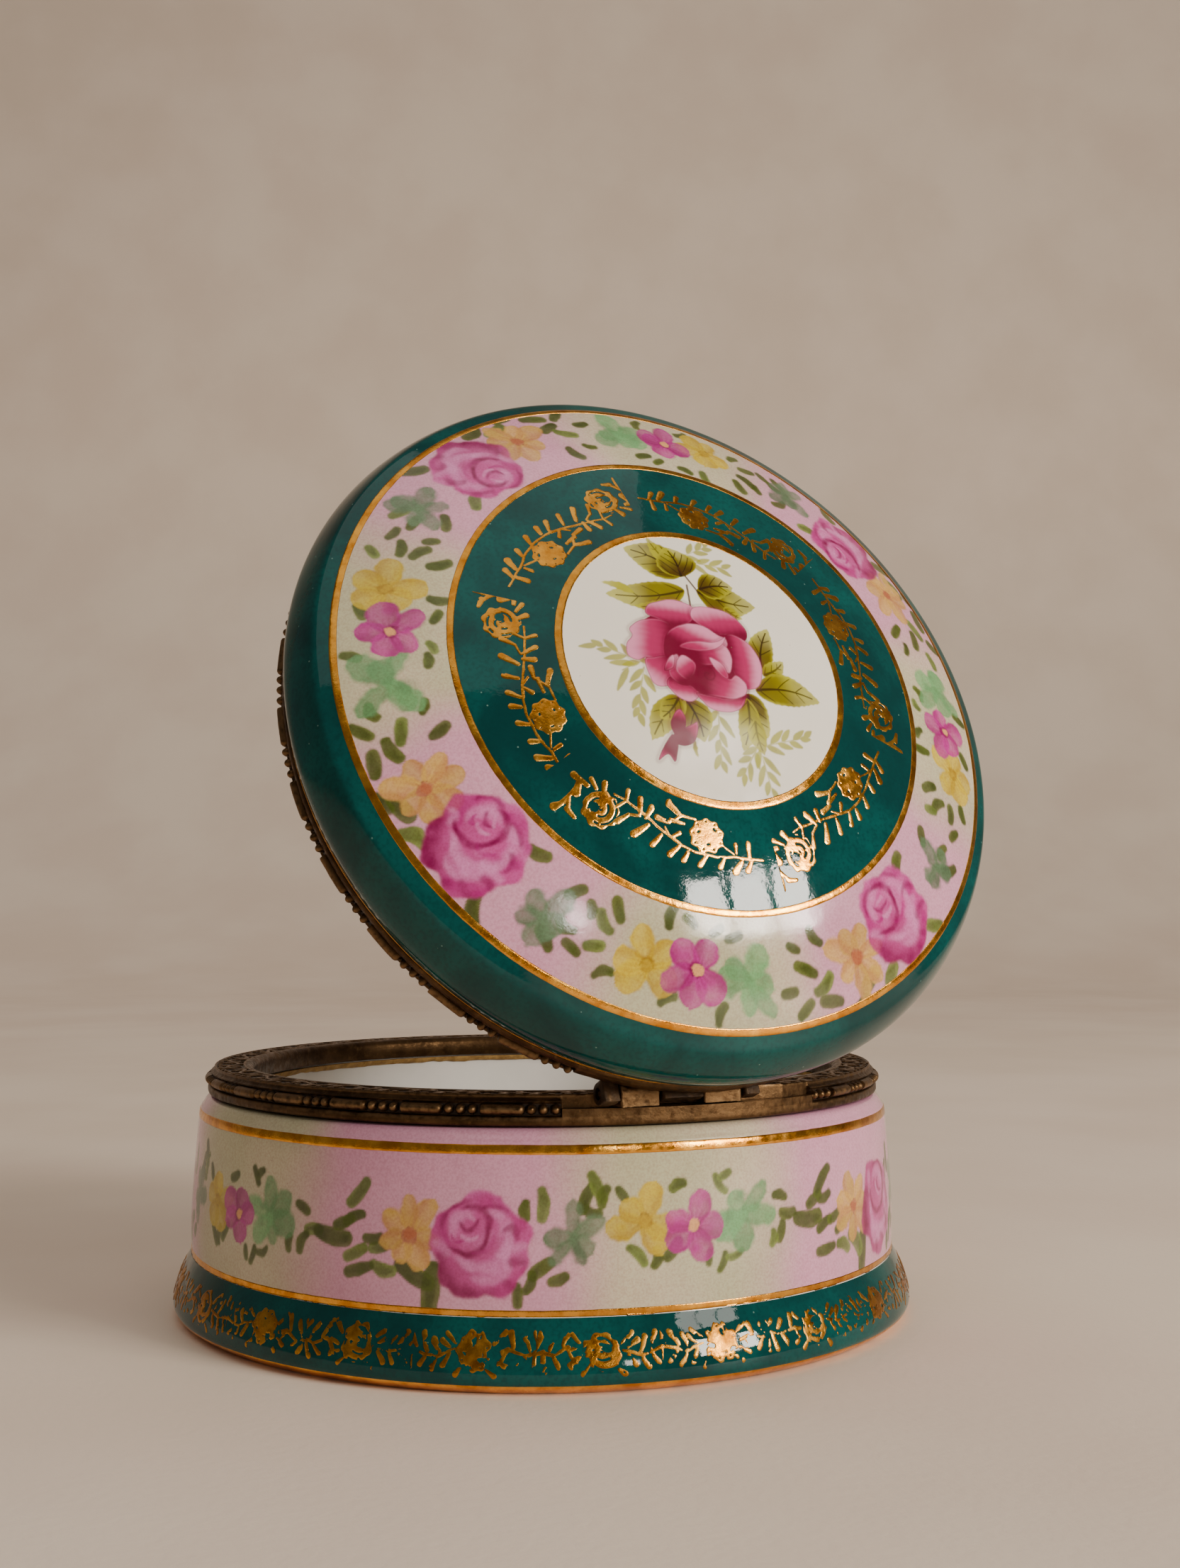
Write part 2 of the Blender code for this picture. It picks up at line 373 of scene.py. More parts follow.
class Look:
    """A node material on the Principled shader, with short calls for the nodes it uses. Sizes are in mm."""

    def __init__(self, name, roughness=0.3, metallic=0.0, **fixed):
        self.material = bpy.data.materials.new(name)
        self.material.use_nodes = True
        self.tree = self.material.node_tree
        self.shader = self.tree.nodes["Principled BSDF"]
        self.shader.inputs["Roughness"].default_value = roughness
        self.shader.inputs["Metallic"].default_value = metallic
        for key, value in fixed.items():
            self.shader.inputs[key.replace("_", " ")].default_value = value
        self.where = self.tree.nodes.new("ShaderNodeTexCoord").outputs["Object"]
        self.bumps = None

    def node(self, kind, **inputs):
        made = self.tree.nodes.new(kind)
        for key, value in inputs.items():
            self.put(made.inputs[int(key[1:]) if key[0] == "i" and key[1:].isdigit() else key], value)
        return made

    def put(self, socket, value):
        if hasattr(value, "is_linked"):
            self.tree.links.new(value, socket)
        elif isinstance(value, (tuple, list, np.ndarray)):
            socket.default_value = (*[float(part) for part in value], 1.0)
        else:
            socket.default_value = value

    def grain(self, size, detail=3.0, rough=0.5, distortion=0.0):
        made = self.node("ShaderNodeTexNoise", Vector=self.where, Scale=1000 / size, Detail=detail,
                         Roughness=rough, Distortion=distortion)
        return made.outputs["Fac"]

    def cells(self, size):
        made = self.node("ShaderNodeTexVoronoi", Vector=self.where, Scale=1000 / size)
        return made.outputs["Distance"]

    def between(self, value, low, high, to_low=0.0, to_high=1.0):
        made = self.node("ShaderNodeMapRange", i0=value, i1=low, i2=high, i3=to_low, i4=to_high)
        made.interpolation_type = "SMOOTHSTEP"
        return made.outputs[0]

    def cloud(self, low, high, *grain, to=(0.0, 1.0)):
        """Noise between two levels, stretched to 0 and 1 or to other values."""
        return self.between(self.grain(*grain), low, high, *to)

    def specks(self, size, low, high):
        """Small round specks, one in about each `size` mm."""
        return self.between(self.cells(size), low, high, 1.0, 0.0)

    def over(self, base, share, strength, tint):
        """The base with a tint over it where share is high."""
        return self.mix(self.times(share, strength), base, tint)

    def mix(self, share, first, second, blend="MIX"):
        made = self.tree.nodes.new("ShaderNodeMix")
        made.data_type = "RGBA"
        made.blend_type = blend
        self.put(made.inputs[0], share)
        self.put(made.inputs[6], first)
        self.put(made.inputs[7], second)
        return made.outputs[2]

    def times(self, first, second):
        made = self.node("ShaderNodeMath", i0=first, i1=second)
        made.operation = "MULTIPLY"
        return made.outputs[0]

    def paint(self):
        made = self.tree.nodes.new("ShaderNodeAttribute")
        made.attribute_name = "paint"
        return made.outputs["Color"]

    def part(self, value, index):
        made = self.node("ShaderNodeSeparateColor", i0=value)
        return made.outputs[index]

    def bump(self, height, depth):
        """Adds height, 0 to 1, as relief `depth` mm deep."""
        made = self.node("ShaderNodeBump", Height=height, Strength=1.0, Distance=depth * MM)
        if self.bumps is not None:
            self.put(made.inputs["Normal"], self.bumps)
        self.bumps = made.outputs["Normal"]

    def done(self, base, roughness=None, metallic=None):
        self.put(self.shader.inputs["Base Color"], base)
        if roughness is not None:
            self.put(self.shader.inputs["Roughness"], roughness)
        if metallic is not None:
            self.put(self.shader.inputs["Metallic"], metallic)
        if self.bumps is not None:
            self.put(self.shader.inputs["Normal"], self.bumps)
        return self.material


def enamel():
    look = Look("teal_enamel", IOR=1.5, Specular_IOR_Level=0.32)
    base = look.mix(look.cloud(0.3, 0.72, 14.0, 4, 0.55, 0.6), (0.0, 0.036, 0.035), (0.0, 0.080, 0.072))
    base = look.over(base, look.cloud(0.42, 0.7, 0.55, 2), 0.4, (0.0, 0.03, 0.03))
    base = look.over(base, look.specks(2.6, 0.035, 0.055), 0.5, colour(120, 160, 150))
    look.bump(look.grain(5.0, 2), 0.030)
    look.bump(look.grain(0.5, 2), 0.004)
    return look.done(base, look.cloud(0.3, 0.75, 3.0, 4, to=(0.02, 0.06)))


def painted():
    look = Look("painted_glaze", IOR=1.5, Specular_IOR_Level=0.45)
    paint = look.paint()
    darker = look.mix(1.0, paint, colour(202, 150, 160), "MULTIPLY")
    base = look.over(paint, look.cloud(0.35, 0.7, 0.32, 2, 0.6), 0.3, darker)
    specks = look.times(look.specks(1.7, 0.05, 0.075), look.cloud(0.56, 0.6, 2.2, 2))
    base = look.over(base, specks, 0.35, colour(150, 90, 105))
    look.bump(look.grain(6.0, 2), 0.025)
    look.bump(look.grain(0.45, 2), 0.005)
    return look.done(base, look.cloud(0.3, 0.75, 2.5, 4, to=(0.08, 0.17)))


def printed():
    look = Look("printed_glaze", IOR=1.5, Specular_IOR_Level=0.45)
    paint = look.paint()
    darker = look.mix(1.0, paint, colour(236, 228, 214), "MULTIPLY")
    base = look.over(paint, look.cloud(0.3, 0.7, 9.0), 0.12, darker)
    base = look.over(base, look.specks(3.4, 0.022, 0.035), 0.35, colour(140, 120, 100))
    look.bump(look.grain(7.0, 2), 0.02)
    return look.done(base, look.cloud(0.3, 0.75, 2.5, 4, to=(0.14, 0.26)))


def white_glaze():
    look = Look("white_glaze", IOR=1.5)
    base = look.mix(look.cloud(0.35, 0.72, 16.0, 4, 0.6), colour(232, 229, 222), colour(240, 236, 230))
    base = look.over(base, look.cloud(0.6, 0.8, 7.0, 5, 0.7, 1.2), 0.25, colour(205, 192, 168))
    base = look.over(base, look.specks(4.2, 0.02, 0.035), 0.6, colour(110, 90, 70))
    look.bump(look.grain(8.0, 2), 0.03)
    return look.done(base, look.cloud(0.3, 0.8, 3.0, 4, to=(0.10, 0.22)))


def gold(name, strength=1.0, smooth=1.0, worn_share=0.6):
    """Burnished gold; a lower strength is darker, a lower smooth rougher."""
    look = Look(name, metallic=1.0)
    dark, light, worn = (np.array(tone) * strength for tone in (
        [0.58, 0.21, 0.015], [0.93, 0.45, 0.065], [0.22, 0.08, 0.012]))
    base = look.mix(look.cloud(0.32, 0.68, 3.5, 4, 0.65), dark, light)
    base = look.over(base, look.cloud(0.56, 0.74, 0.7, 4, 0.7), worn_share, worn)
    look.bump(look.grain(0.35, 3, 0.6), 0.035 / smooth)
    look.bump(look.grain(1.6, 2), 0.03)
    return look.done(base, look.cloud(0.3, 0.75, 1.2, 4, to=(0.22 / smooth, 0.48 / smooth)))


def aged_brass(name="aged_brass", worn_share=1.0):
    """Brass with a brown patina. The paint's red is how worn an edge is, and its green how dark it is: patina
    where it lies deep, and painted shade over the lid's knuckles.
    """
    look = Look(name, metallic=1.0)
    paint = look.paint()
    wear, deep = look.part(paint, 0), look.part(paint, 1)
    base = look.mix(look.cloud(0.3, 0.7, 5.0, 4, 0.65), (0.045, 0.024, 0.011), (0.105, 0.058, 0.026))
    base = look.over(base, look.cloud(0.5, 0.72, 1.3, 4, 0.7), 0.5, (0.17, 0.095, 0.040))
    rub = look.times(look.cloud(0.25, 0.62, 0.9, 3, 0.6), wear)
    base = look.over(base, rub, 0.6 * worn_share, (0.36, 0.215, 0.10))
    # Darkened by the paint's green: patina in deep places, and painted shade over the lid's knuckles.
    base = look.over(base, deep, 0.9, (0.010, 0.005, 0.003))
    look.bump(look.grain(0.3, 3, 0.65), 0.035)
    look.bump(look.grain(1.5), 0.05)
    rough = look.cloud(0.3, 0.75, 0.9, 4, to=(0.34, 0.58))
    return look.done(base, rough, look.between(deep, 0.0, 1.0, 1.0, 0.55))


def cement():
    look = Look("setting_cement")
    base = look.mix(look.cloud(0.3, 0.7, 1.4, 4, 0.7), colour(134, 96, 38), colour(190, 150, 84))
    look.bump(look.grain(0.5, 4, 0.7), 0.15)
    return look.done(base, look.cloud(0.3, 0.7, 0.7, to=(0.6, 0.9)))


ENAMEL = enamel()
PAINTED = painted()
PRINTED = printed()
WHITE = white_glaze()
GOLD = gold("burnished_gold", 1.1, 1.6, 0.4)
LINE_GOLD = gold("line_gold", 1.0, 1.7, 0.25)
WORN_GOLD = gold("worn_gold", 0.6)
BRASS = aged_brass()
CEMENT = cement()


# ---------------------------------------------------------------- painting


class Canvas:
    """Colours at the points of a surface.

    With a wall radius, x runs round the wall and y is the height. Without one the surface is a disc seen from
    above, and y runs outwards.
    """

    def __init__(self, ground, points, turn=None, radius=None, height=None, wall=None):
        self.rgb = ground
        self.points = points
        self.turn, self.radius, self.height, self.wall = turn, radius, height, wall

    def near(self, degrees, level, reach):
        """Indices within reach of a place, and their x and y from it."""
        away = (self.turn - math.radians(degrees) + math.pi) % (2 * math.pi) - math.pi
        if self.wall:
            x, y = away * self.wall, self.height - level
        else:
            x, y = self.radius * np.sin(away), self.radius * np.cos(away) - level
            x = np.where(np.abs(away) < 1.5, x, 1e3)
        chosen = np.nonzero((np.abs(x) < reach) & (np.abs(y) < reach))[0]
        return chosen, x[chosen], y[chosen]

    def step(self, level):
        """Degrees in a millimetre along the surface."""
        return math.degrees(1 / (self.wall or level))

    def lay(self, chosen, share, tint):
        """Covers a share of what is below with a colour."""
        share = share[:, None]
        self.rgb[chosen] = self.rgb[chosen] * (1 - share) + tint * share


def turned_by(x, y, degrees):
    c, s = math.cos(math.radians(degrees)), math.sin(math.radians(degrees))
    return x * c + y * s, y * c - x * s


def capsule(x, y, x0, y0, x1, y1):
    """Distance from the line between two points, and the share of the way along it."""
    dx, dy = x1 - x0, y1 - y0
    t = np.clip(((x - x0) * dx + (y - y0) * dy) / (dx * dx + dy * dy + 1e-9), 0, 1)
    return np.hypot(x - x0 - t * dx, y - y0 - t * dy), t


def petal(x, y, length, width, degrees, start=0.0, blunt=True):
    """Rough distance outside a petal that grows from a point, and the share of the way along it."""
    u, v = turned_by(x, y, degrees)
    t = np.clip((u - start) / length, 0, 1)
    if blunt:
        body = 0.4 + 0.6 * np.sin(math.pi / 2 * np.clip(t / 0.6, 0, 1))
        half = width / 2 * np.where(t < 0.6, body, np.sqrt(np.clip(1 - ((t - 0.6) / 0.4) ** 2, 0, 1)))
    else:
        half = width / 2 * np.sin(math.pi * np.clip(t, 0.02, 1) ** 0.72 * 0.93) ** 0.75
    beyond = np.maximum(np.maximum(start - u, u - start - length), 0)
    return np.hypot(np.maximum(np.abs(v) - half, 0), beyond) + np.minimum(np.abs(v) - half, 0), t


def blob(canvas, chosen, distance, tint, share, soft, seed, rough, edge=0.0, streak=0.0):
    """A wash of colour where the distance is negative, ragged, uneven and stronger along its edge."""
    spot = canvas.points[chosen]
    distance = distance + rough * noise(spot, 1.1, seed)
    strength = share * (1 + streak * noise(spot, 1.6, seed + 7)) + edge * smoothstep(-0.7, -0.05, distance)
    canvas.lay(chosen, np.clip(strength * smoothstep(soft, -soft, distance), 0, 1), tint)


MAGENTA, DEEP_ROSE, BRIGHT_PINK = colour(164, 10, 110), colour(124, 0, 70), colour(188, 54, 144)
ROSE, BLUSH, DUSKY_PINK = colour(194, 54, 142), colour(224, 144, 196), colour(172, 96, 84)
OLIVE, DARK_OLIVE, PALE_OLIVE = colour(76, 90, 14), colour(44, 54, 6), colour(124, 142, 80)
SAGE, MINT, GREY_SAGE = colour(84, 122, 78), colour(112, 166, 108), colour(104, 120, 96)
YELLOW, AMBER, TAWNY = colour(208, 182, 48), colour(156, 116, 20), colour(178, 104, 70)
APRICOT, PEACH = colour(214, 156, 108), colour(232, 170, 110)


def leaf_strokes(canvas, centre, level, strokes, dice):
    """Short thick strokes of a loaded brush: x, y, direction, length and width of each."""
    step = canvas.step(level)
    for x0, y0, way, length, width in strokes:
        x0, y0 = x0 + dice.normal(0, 0.25), y0 + dice.normal(0, 0.2)
        half = max(0.3, (length - 0.5 * width) / 2) * dice.uniform(0.88, 1.12)
        chosen, x, y = canvas.near(centre + x0 * step, level + y0, half + width + 1)
        along, across = turned_by(x, y, way + dice.normal(0, 6))
        across = across - dice.normal(0, 0.15) * (1 - (along / half) ** 2).clip(-0.3)
        away, t = capsule(along, across, -half, 0, half, 0)
        fat = width / 2 * (1.0 + 0.3 * np.sin(math.pi * np.clip(0.18 + 0.8 * t, 0, 1)))
        seed = int(dice.integers(1, 9999))
        tone = OLIVE * dice.uniform(0.8, 1.25) + (0.5 if dice.random() < 0.2 else 0.08) * PALE_OLIVE
        blob(canvas, chosen, away - fat, tone, 0.92, 0.14, seed, 0.12, streak=0.08)
        blob(canvas, chosen, away - fat * (0.45 + 0.5 * t), DARK_OLIVE, 0.42, 0.3, seed + 3, 0.25, streak=0.7)


def sage_leaves(canvas, centre, level, size, tint, dice):
    """A soft cluster of broad pale green leaves that run into each other, wiped thin in places."""
    chosen, x, y = canvas.near(centre, level, size * 2.1)
    turn = dice.uniform(0, 360)
    for k in range(6):
        way = turn + k * 60 + dice.normal(0, 20)
        distance, _ = petal(x, y, size * dice.uniform(0.7, 1.25), size * dice.uniform(0.45, 0.8), way)
        seed = int(dice.integers(1, 9999))
        tone = tint * dice.uniform(0.75, 1.15)
        blob(canvas, chosen, distance, tone, 0.8, 0.4, seed, 0.45, 0.10, streak=0.25)
        side = size * 0.45 * np.array([math.cos(math.radians(way + 25)), math.sin(math.radians(way + 25))])
        patch = np.hypot(x - side[0], y - side[1]) - size * dice.uniform(0.1, 0.22)
        blob(canvas, chosen, patch, tint * 0.5, 0.3, 0.6, seed + 1, 0.6, streak=0.5)


def open_flower(canvas, centre, level, size, petals, width, main, base, heart, dice, loose=6):
    """Uneven petals round a small ragged heart, each shaded along one side."""
    chosen, x, y = canvas.near(centre, level, size * 1.8)
    turn = dice.uniform(0, 360)
    for k in dice.permutation(petals):
        way = turn + k * 360 / petals + dice.normal(0, loose)
        length, wide = size * dice.uniform(0.78, 1.16), width * dice.uniform(0.8, 1.15)
        distance, t = petal(x, y, length, wide, way, 0.1)
        u, v = turned_by(x, y, way)
        seed = int(dice.integers(1, 9999))
        tone = main * dice.uniform(0.84, 1.1)
        blob(canvas, chosen, distance, tone, 0.86, 0.22, seed, 0.45, 0.1, streak=0.2)
        inside = smoothstep(0.12, -0.3, distance)
        tilt = v / wide * (3 if seed % 2 else -3)
        shaded = smoothstep(-0.1, 1.0, tilt + 0.4 * noise(canvas.points[chosen], 1.5, seed))
        canvas.lay(chosen, 0.38 * inside * shaded, base)
        lines = np.abs(np.sin(np.arctan2(v, u + 0.6) * 11 + seed))
        rays = smoothstep(0.75, 0.1, t) * smoothstep(0.3, 0.95, lines) * inside
        canvas.lay(chosen, 0.3 * rays, base)
        rim = smoothstep(-0.3, -0.1, distance) * smoothstep(0.1, -0.06, distance) * smoothstep(0.2, 0.7, t)
        canvas.lay(chosen, 0.2 * rim, base)
    away = np.hypot(x, y)
    blob(canvas, chosen, away - size * 0.2, base, 0.7, 0.2, 31, 0.6)
    blob(canvas, chosen, away - size * 0.15, heart, 0.95, 0.10, 37 + int(centre), 0.55)
    for k in range(5):
        way = dice.uniform(0, 2 * math.pi)
        dot = np.hypot(x - size * 0.2 * math.cos(way), y - size * 0.2 * math.sin(way)) - 0.1
        blob(canvas, chosen, dot, base * 0.5, 0.6, 0.1, 41 + k, 0.05)


# Soft brush marks of a china-painted rose, in radii: ends, bend, width, tint and strength. The tint is d for
# deep, m for magenta or l for light.
ROSE_MARKS = (
    (-0.55, 0.30, -0.10, 0.86, 0.16, 0.30, "m", 0.5), (0.30, 0.78, 0.80, 0.30, 0.12, 0.34, "m", 0.5),
    (0.55, -0.15, 0.86, -0.05, 0.0, 0.26, "m", 0.5), (-0.10, -0.86, 0.50, -0.70, -0.06, 0.26, "m", 0.55),
    (-0.84, 0.02, -0.66, -0.58, -0.10, 0.44, "d", 0.8), (-0.62, -0.60, -0.22, -0.84, -0.05, 0.28, "d", 0.55),
    (-0.36, -0.20, 0.58, -0.08, -0.30, 0.26, "l", 0.75), (-0.30, -0.52, 0.24, -0.56, -0.10, 0.20, "l", 0.6),
    (-0.34, 0.50, 0.06, 0.66, 0.06, 0.22, "l", 0.6), (0.46, 0.44, 0.58, 0.14, 0.06, 0.20, "l", 0.6),
    (-0.70, 0.44, -0.58, 0.20, 0.02, 0.16, "l", 0.5), (0.28, -0.28, 0.66, -0.40, 0.0, 0.16, "l", 0.55),
    (-0.52, 0.14, 0.26, 0.10, -0.22, 0.15, "d", 0.9), (0.14, 0.74, 0.28, 0.16, 0.14, 0.18, "d", 0.85),
    (-0.44, 0.72, 0.12, 0.84, 0.10, 0.13, "d", 0.6), (-0.14, 0.52, 0.08, 0.34, -0.08, 0.11, "d", 0.75),
    (-0.36, 0.42, -0.20, 0.26, -0.06, 0.09, "m", 0.8), (0.44, 0.62, 0.70, 0.34, 0.05, 0.12, "d", 0.5),
    (0.60, 0.04, 0.80, -0.16, 0.04, 0.16, "d", 0.65), (0.40, -0.50, 0.60, -0.56, 0.02, 0.16, "d", 0.6),
    (0.10, -0.74, 0.22, -0.90, 0.0, 0.18, "d", 0.5), (-0.18, 0.30, 0.06, 0.22, -0.04, 0.08, "l", 0.7),
    (0.02, 0.60, 0.08, 0.46, 0.0, 0.07, "l", 0.6), (-0.10, -0.06, 0.30, -0.02, -0.08, 0.10, "m", 0.5),
)


def china_rose(canvas, centre, level, size, dice):
    """A soft pink rose: a ragged wash with blurred strokes of magenta and wiped lights over it."""
    chosen, x, y = canvas.near(centre, level, size * 1.5)
    x, y = turned_by(-x, y if canvas.wall else -y, dice.normal(0, 16))
    spot = canvas.points[chosen]
    reach, way = np.hypot(x, y) / size, np.arctan2(y, x)
    seed = int(dice.integers(1, 9999))
    lobes = 0.94 + 0.06 * np.cos(5 * way + seed) + 0.03 * np.cos(9 * way + 1.3 * seed)
    outside = (reach - lobes) * size + 0.5 * noise(spot, 2.4, seed) + 0.2 * noise(spot, 0.8, seed + 3)
    body = smoothstep(0.35, -0.3, outside)
    lit = -x / size * 0.7 - y / size * 0.5
    shade = smoothstep(-0.6, 1.0, lit + 0.6 * noise(spot, 2.8, seed + 1))[:, None]
    canvas.lay(chosen, 0.85 * body, ROSE * (1 - shade) + MAGENTA * shade)
    wipe = smoothstep(0.0, 0.7, noise(spot, 2.4, seed + 2) + 0.35 * (x + y) / size)
    canvas.lay(chosen, 0.30 * body * wipe, BLUSH)
    u = x / size + 0.06 * noise(spot, 2.0, seed + 4)
    v = y / size + 0.06 * noise(spot, 2.0, seed + 5)
    streak = 0.85 + 0.4 * noise(spot, 0.9, seed + 6)
    tints = {"d": DEEP_ROSE, "m": MAGENTA, "l": BLUSH}
    for x0, y0, x1, y1, bend, width, kind, strength in ROSE_MARKS:
        x0, y0, x1, y1 = np.array([x0, y0, x1, y1]) + dice.normal(0, 0.035, 4)
        long = math.hypot(x1 - x0, y1 - y0)
        direction = math.degrees(math.atan2(y1 - y0, x1 - x0))
        along, across = turned_by(u - (x0 + x1) / 2, v - (y0 + y1) / 2, direction)
        across = across - bend * (1 - (2 * along / long) ** 2).clip(-1, 1)
        away, _ = capsule(along, across, -long / 2, 0, long / 2, 0)
        soft = smoothstep(width * (0.85 if kind == "l" else 0.7), width * 0.12, away)
        canvas.lay(chosen, np.clip(strength * soft * body * streak, 0, 1), tints[kind])


# Brush strokes beside each kind of bunch on the wall: x, height from the middle, direction, length, width
ROSE_STROKES = (
    (-7.8, 5.2, 88, 3.9, 1.3), (-6.0, 3.9, 100, 2.3, 1.25), (-13.2, 5.6, 118, 3.6, 1.3),
    (-14.9, 6.9, 75, 3.6, 1.3), (-15.6, 5.8, 112, 2.6, 1.2), (-14.3, 4.3, 20, 2.5, 1.2),
    (-7.9, -3.0, 146, 3.4, 1.5), (-9.8, -4.3, 150, 2.2, 1.3), (-6.6, -4.9, 112, 2.9, 1.1),
    (-5.0, -6.2, 88, 2.9, 1.1), (6.6, -5.4, 92, 5.6, 2.0), (8.9, -3.9, 35, 4.6, 1.9),
    (13.0, -3.9, 22, 2.9, 1.5), (16.6, -3.9, 165, 3.8, 1.3), (13.2, -1.2, 160, 2.6, 1.2),
    (14.6, 0.2, 172, 2.4, 1.2), (16.9, 2.7, 158, 2.9, 1.2), (17.0, 5.6, 128, 4.6, 1.4),
)
BRIGHT_STROKES = (
    (2.2, 5.6, 160, 2.2, 1.2), (-3.8, 5.9, 70, 2.8, 1.0), (-4.9, 6.6, 150, 1.9, 1.0),
    (-13.6, 3.4, 12, 2.4, 1.2), (-15.6, 0.9, 172, 2.8, 1.3), (-19.0, 0.1, 10, 5.6, 1.9),
    (-20.4, 2.2, 158, 3.2, 1.3), (-13.9, -1.4, 114, 2.7, 1.2), (-11.7, -1.5, 98, 1.9, 1.1),
    (3.4, -2.3, 128, 2.9, 1.3), (5.5, -3.0, 104, 2.4, 1.2), (7.7, -2.8, 44, 3.2, 1.2),
    (-1.9, -3.6, 88, 2.0, 0.9), (-4.2, -4.4, 114, 2.6, 0.9), (-6.0, -3.4, 156, 2.6, 0.9),
    (-22.8, -1.6, 158, 3.2, 1.3), (9.5, 5.0, 60, 2.0, 1.0),
)


def rose_bunch(canvas, centre, level, dice, size, strokes):
    step = canvas.step(level)
    leaf_strokes(canvas, centre, level, strokes, dice)
    sage_leaves(canvas, centre - 11.9 * step, level + 0.9, 3.9, (SAGE + GREY_SAGE) / 2, dice)
    open_flower(canvas, centre + 9.3 * step, level + 0.8, 4.8, 7, 2.9, (YELLOW + APRICOT) / 2,
                DUSKY_PINK, TAWNY, dice)
    china_rose(canvas, centre, level - 0.4, size, dice)


def bright_bunch(canvas, centre, level, dice, spread, strokes):
    step = canvas.step(level)
    leaf_strokes(canvas, centre, level, strokes, dice)
    sage_leaves(canvas, centre - 7.4 * spread * step, level + 1.3, 4.8, MINT, dice)
    open_flower(canvas, centre + 6.9 * spread * step, level + 1.6, 4.5, 5, 3.6, YELLOW, AMBER,
                (YELLOW + AMBER) / 2, dice, 15)
    open_flower(canvas, centre, level + 0.6, 4.4, 5, 3.7, BRIGHT_PINK, DEEP_ROSE, PEACH, dice, 12)


PINK_GROUND, GREEN_GROUND, CREAM_GROUND = colour(216, 158, 182), colour(192, 188, 152), colour(216, 200, 174)


def ground(turn, points, repeats, green_at, seed):
    """Airbrushed ground that drifts from pink round the roses to grey-green round the bright flowers."""
    wave = np.cos(repeats * (turn - math.radians(green_at))) + 0.35 * noise(points, 12.0, seed)
    green = smoothstep(-0.35, 0.75, wave)[:, None]
    cream = (smoothstep(-0.2, 0.7, noise(points, 16.0, seed + 1)) * 0.7)[:, None]
    base = PINK_GROUND * (1 - green) + (GREEN_GROUND * (1 - cream) + CREAM_GROUND * cream) * green
    return base * (1 + 0.05 * noise(points, 2.0, seed + 2, 3))[:, None]


WALL_REPEATS, WALL_RADIUS = 5, 54.0
REPEAT = 360 // WALL_REPEATS
# Where the first bunch of each kind sits on the wall: degrees and height
WALL_ROSE, WALL_BRIGHT = (32.6, 18.3), (2.8, 19.3)
LOWER_BY = 1.2  # how much lower the second bright bunch sits


def paint_wall(turn, radius, height, points):
    canvas = Canvas(ground(turn, points, WALL_REPEATS, 3.5, 11), points, turn, radius, height, WALL_RADIUS)
    dice = np.random.default_rng(5)
    for k in range(WALL_REPEATS):
        rose_bunch(canvas, WALL_ROSE[0] + REPEAT * k, WALL_ROSE[1], dice, 7.0, ROSE_STROKES)
        level = WALL_BRIGHT[1] - LOWER_BY * (k == 1)
        bright_bunch(canvas, WALL_BRIGHT[0] + REPEAT * k, level, dice, 1.0, BRIGHT_STROKES)
    return canvas.rgb


# The same beside the bunches on the lid, where y runs outwards
LID_ROSE_STROKES = (
    (-5.4, 5.0, 140, 3.3, 1.5), (-6.2, -4.6, 30, 2.8, 1.4), (-13.4, 2.9, 150, 2.8, 1.3),
    (-14.4, 0.4, 172, 2.4, 1.2), (-13.0, -3.4, 40, 2.6, 1.2), (5.2, 5.2, 30, 3.2, 1.6),
    (8.6, 4.4, 18, 3.8, 1.7), (10.4, 6.0, 12, 2.8, 1.3), (14.6, 4.6, 170, 3.4, 1.4),
    (15.6, 2.4, 20, 3.4, 1.4), (17.6, 0.2, 160, 3.3, 1.3), (16.0, -3.8, 120, 2.8, 1.3),
    (18.6, 4.9, 36, 2.8, 1.2), (20.8, 2.6, 12, 2.4, 1.2), (19.4, -3.0, 150, 2.0, 1.0),
)
LID_BRIGHT_STROKES = (
    (-3.2, 5.3, 70, 2.4, 1.2), (3.2, 4.6, 28, 2.3, 1.2), (5.6, -4.9, 96, 2.6, 1.2),
    (2.2, -5.0, 150, 2.0, 1.1), (-4.6, -3.7, 12, 2.2, 1.1), (-2.4, -4.6, 30, 1.8, 1.0),
    (12.2, -3.4, 130, 2.8, 1.3), (13.6, -1.2, 150, 2.9, 1.3), (13.4, 1.6, 20, 2.6, 1.2),
    (15.6, 3.0, 160, 2.2, 1.1), (15.6, -2.0, 118, 2.0, 1.1), (11.6, 3.8, 35, 2.2, 1.1),
)


# Where the four bunches of each kind sit on the lid, in degrees
LID_ROSES = (54.5, 142.4, 231.9, 324.2)
LID_BRIGHTS = (97.3, 187.7, 277.0, 10.3)
LID_ROSE_RADIUS, LID_BRIGHT_RADIUS = 42.2, 41.2


def paint_lid_band(turn, radius, height, points):
    canvas = Canvas(ground(turn, points, len(LID_ROSES), 8.0, 21), points, turn, radius, height)
    dice = np.random.default_rng(17)
    for rose, bright in zip(LID_ROSES, LID_BRIGHTS):
        rose_bunch(canvas, rose, LID_ROSE_RADIUS, dice, 6.6, LID_ROSE_STROKES)
        bright_bunch(canvas, bright, LID_BRIGHT_RADIUS, dice, 0.95, LID_BRIGHT_STROKES)
    return canvas.rgb


# ---------------------------------------------------------------- the printed bouquet

PRINT_GROUND, SPRIG_GREEN = colour(241, 234, 220), colour(160, 158, 34)
PRINT_DARK, PRINT_MID, PRINT_LIGHT = colour(112, 8, 46), colour(174, 44, 94), colour(226, 142, 176)
LEAF_DARK, LEAF_MID, LEAF_LIGHT = colour(70, 44, 0), colour(136, 126, 4), colour(190, 188, 44)

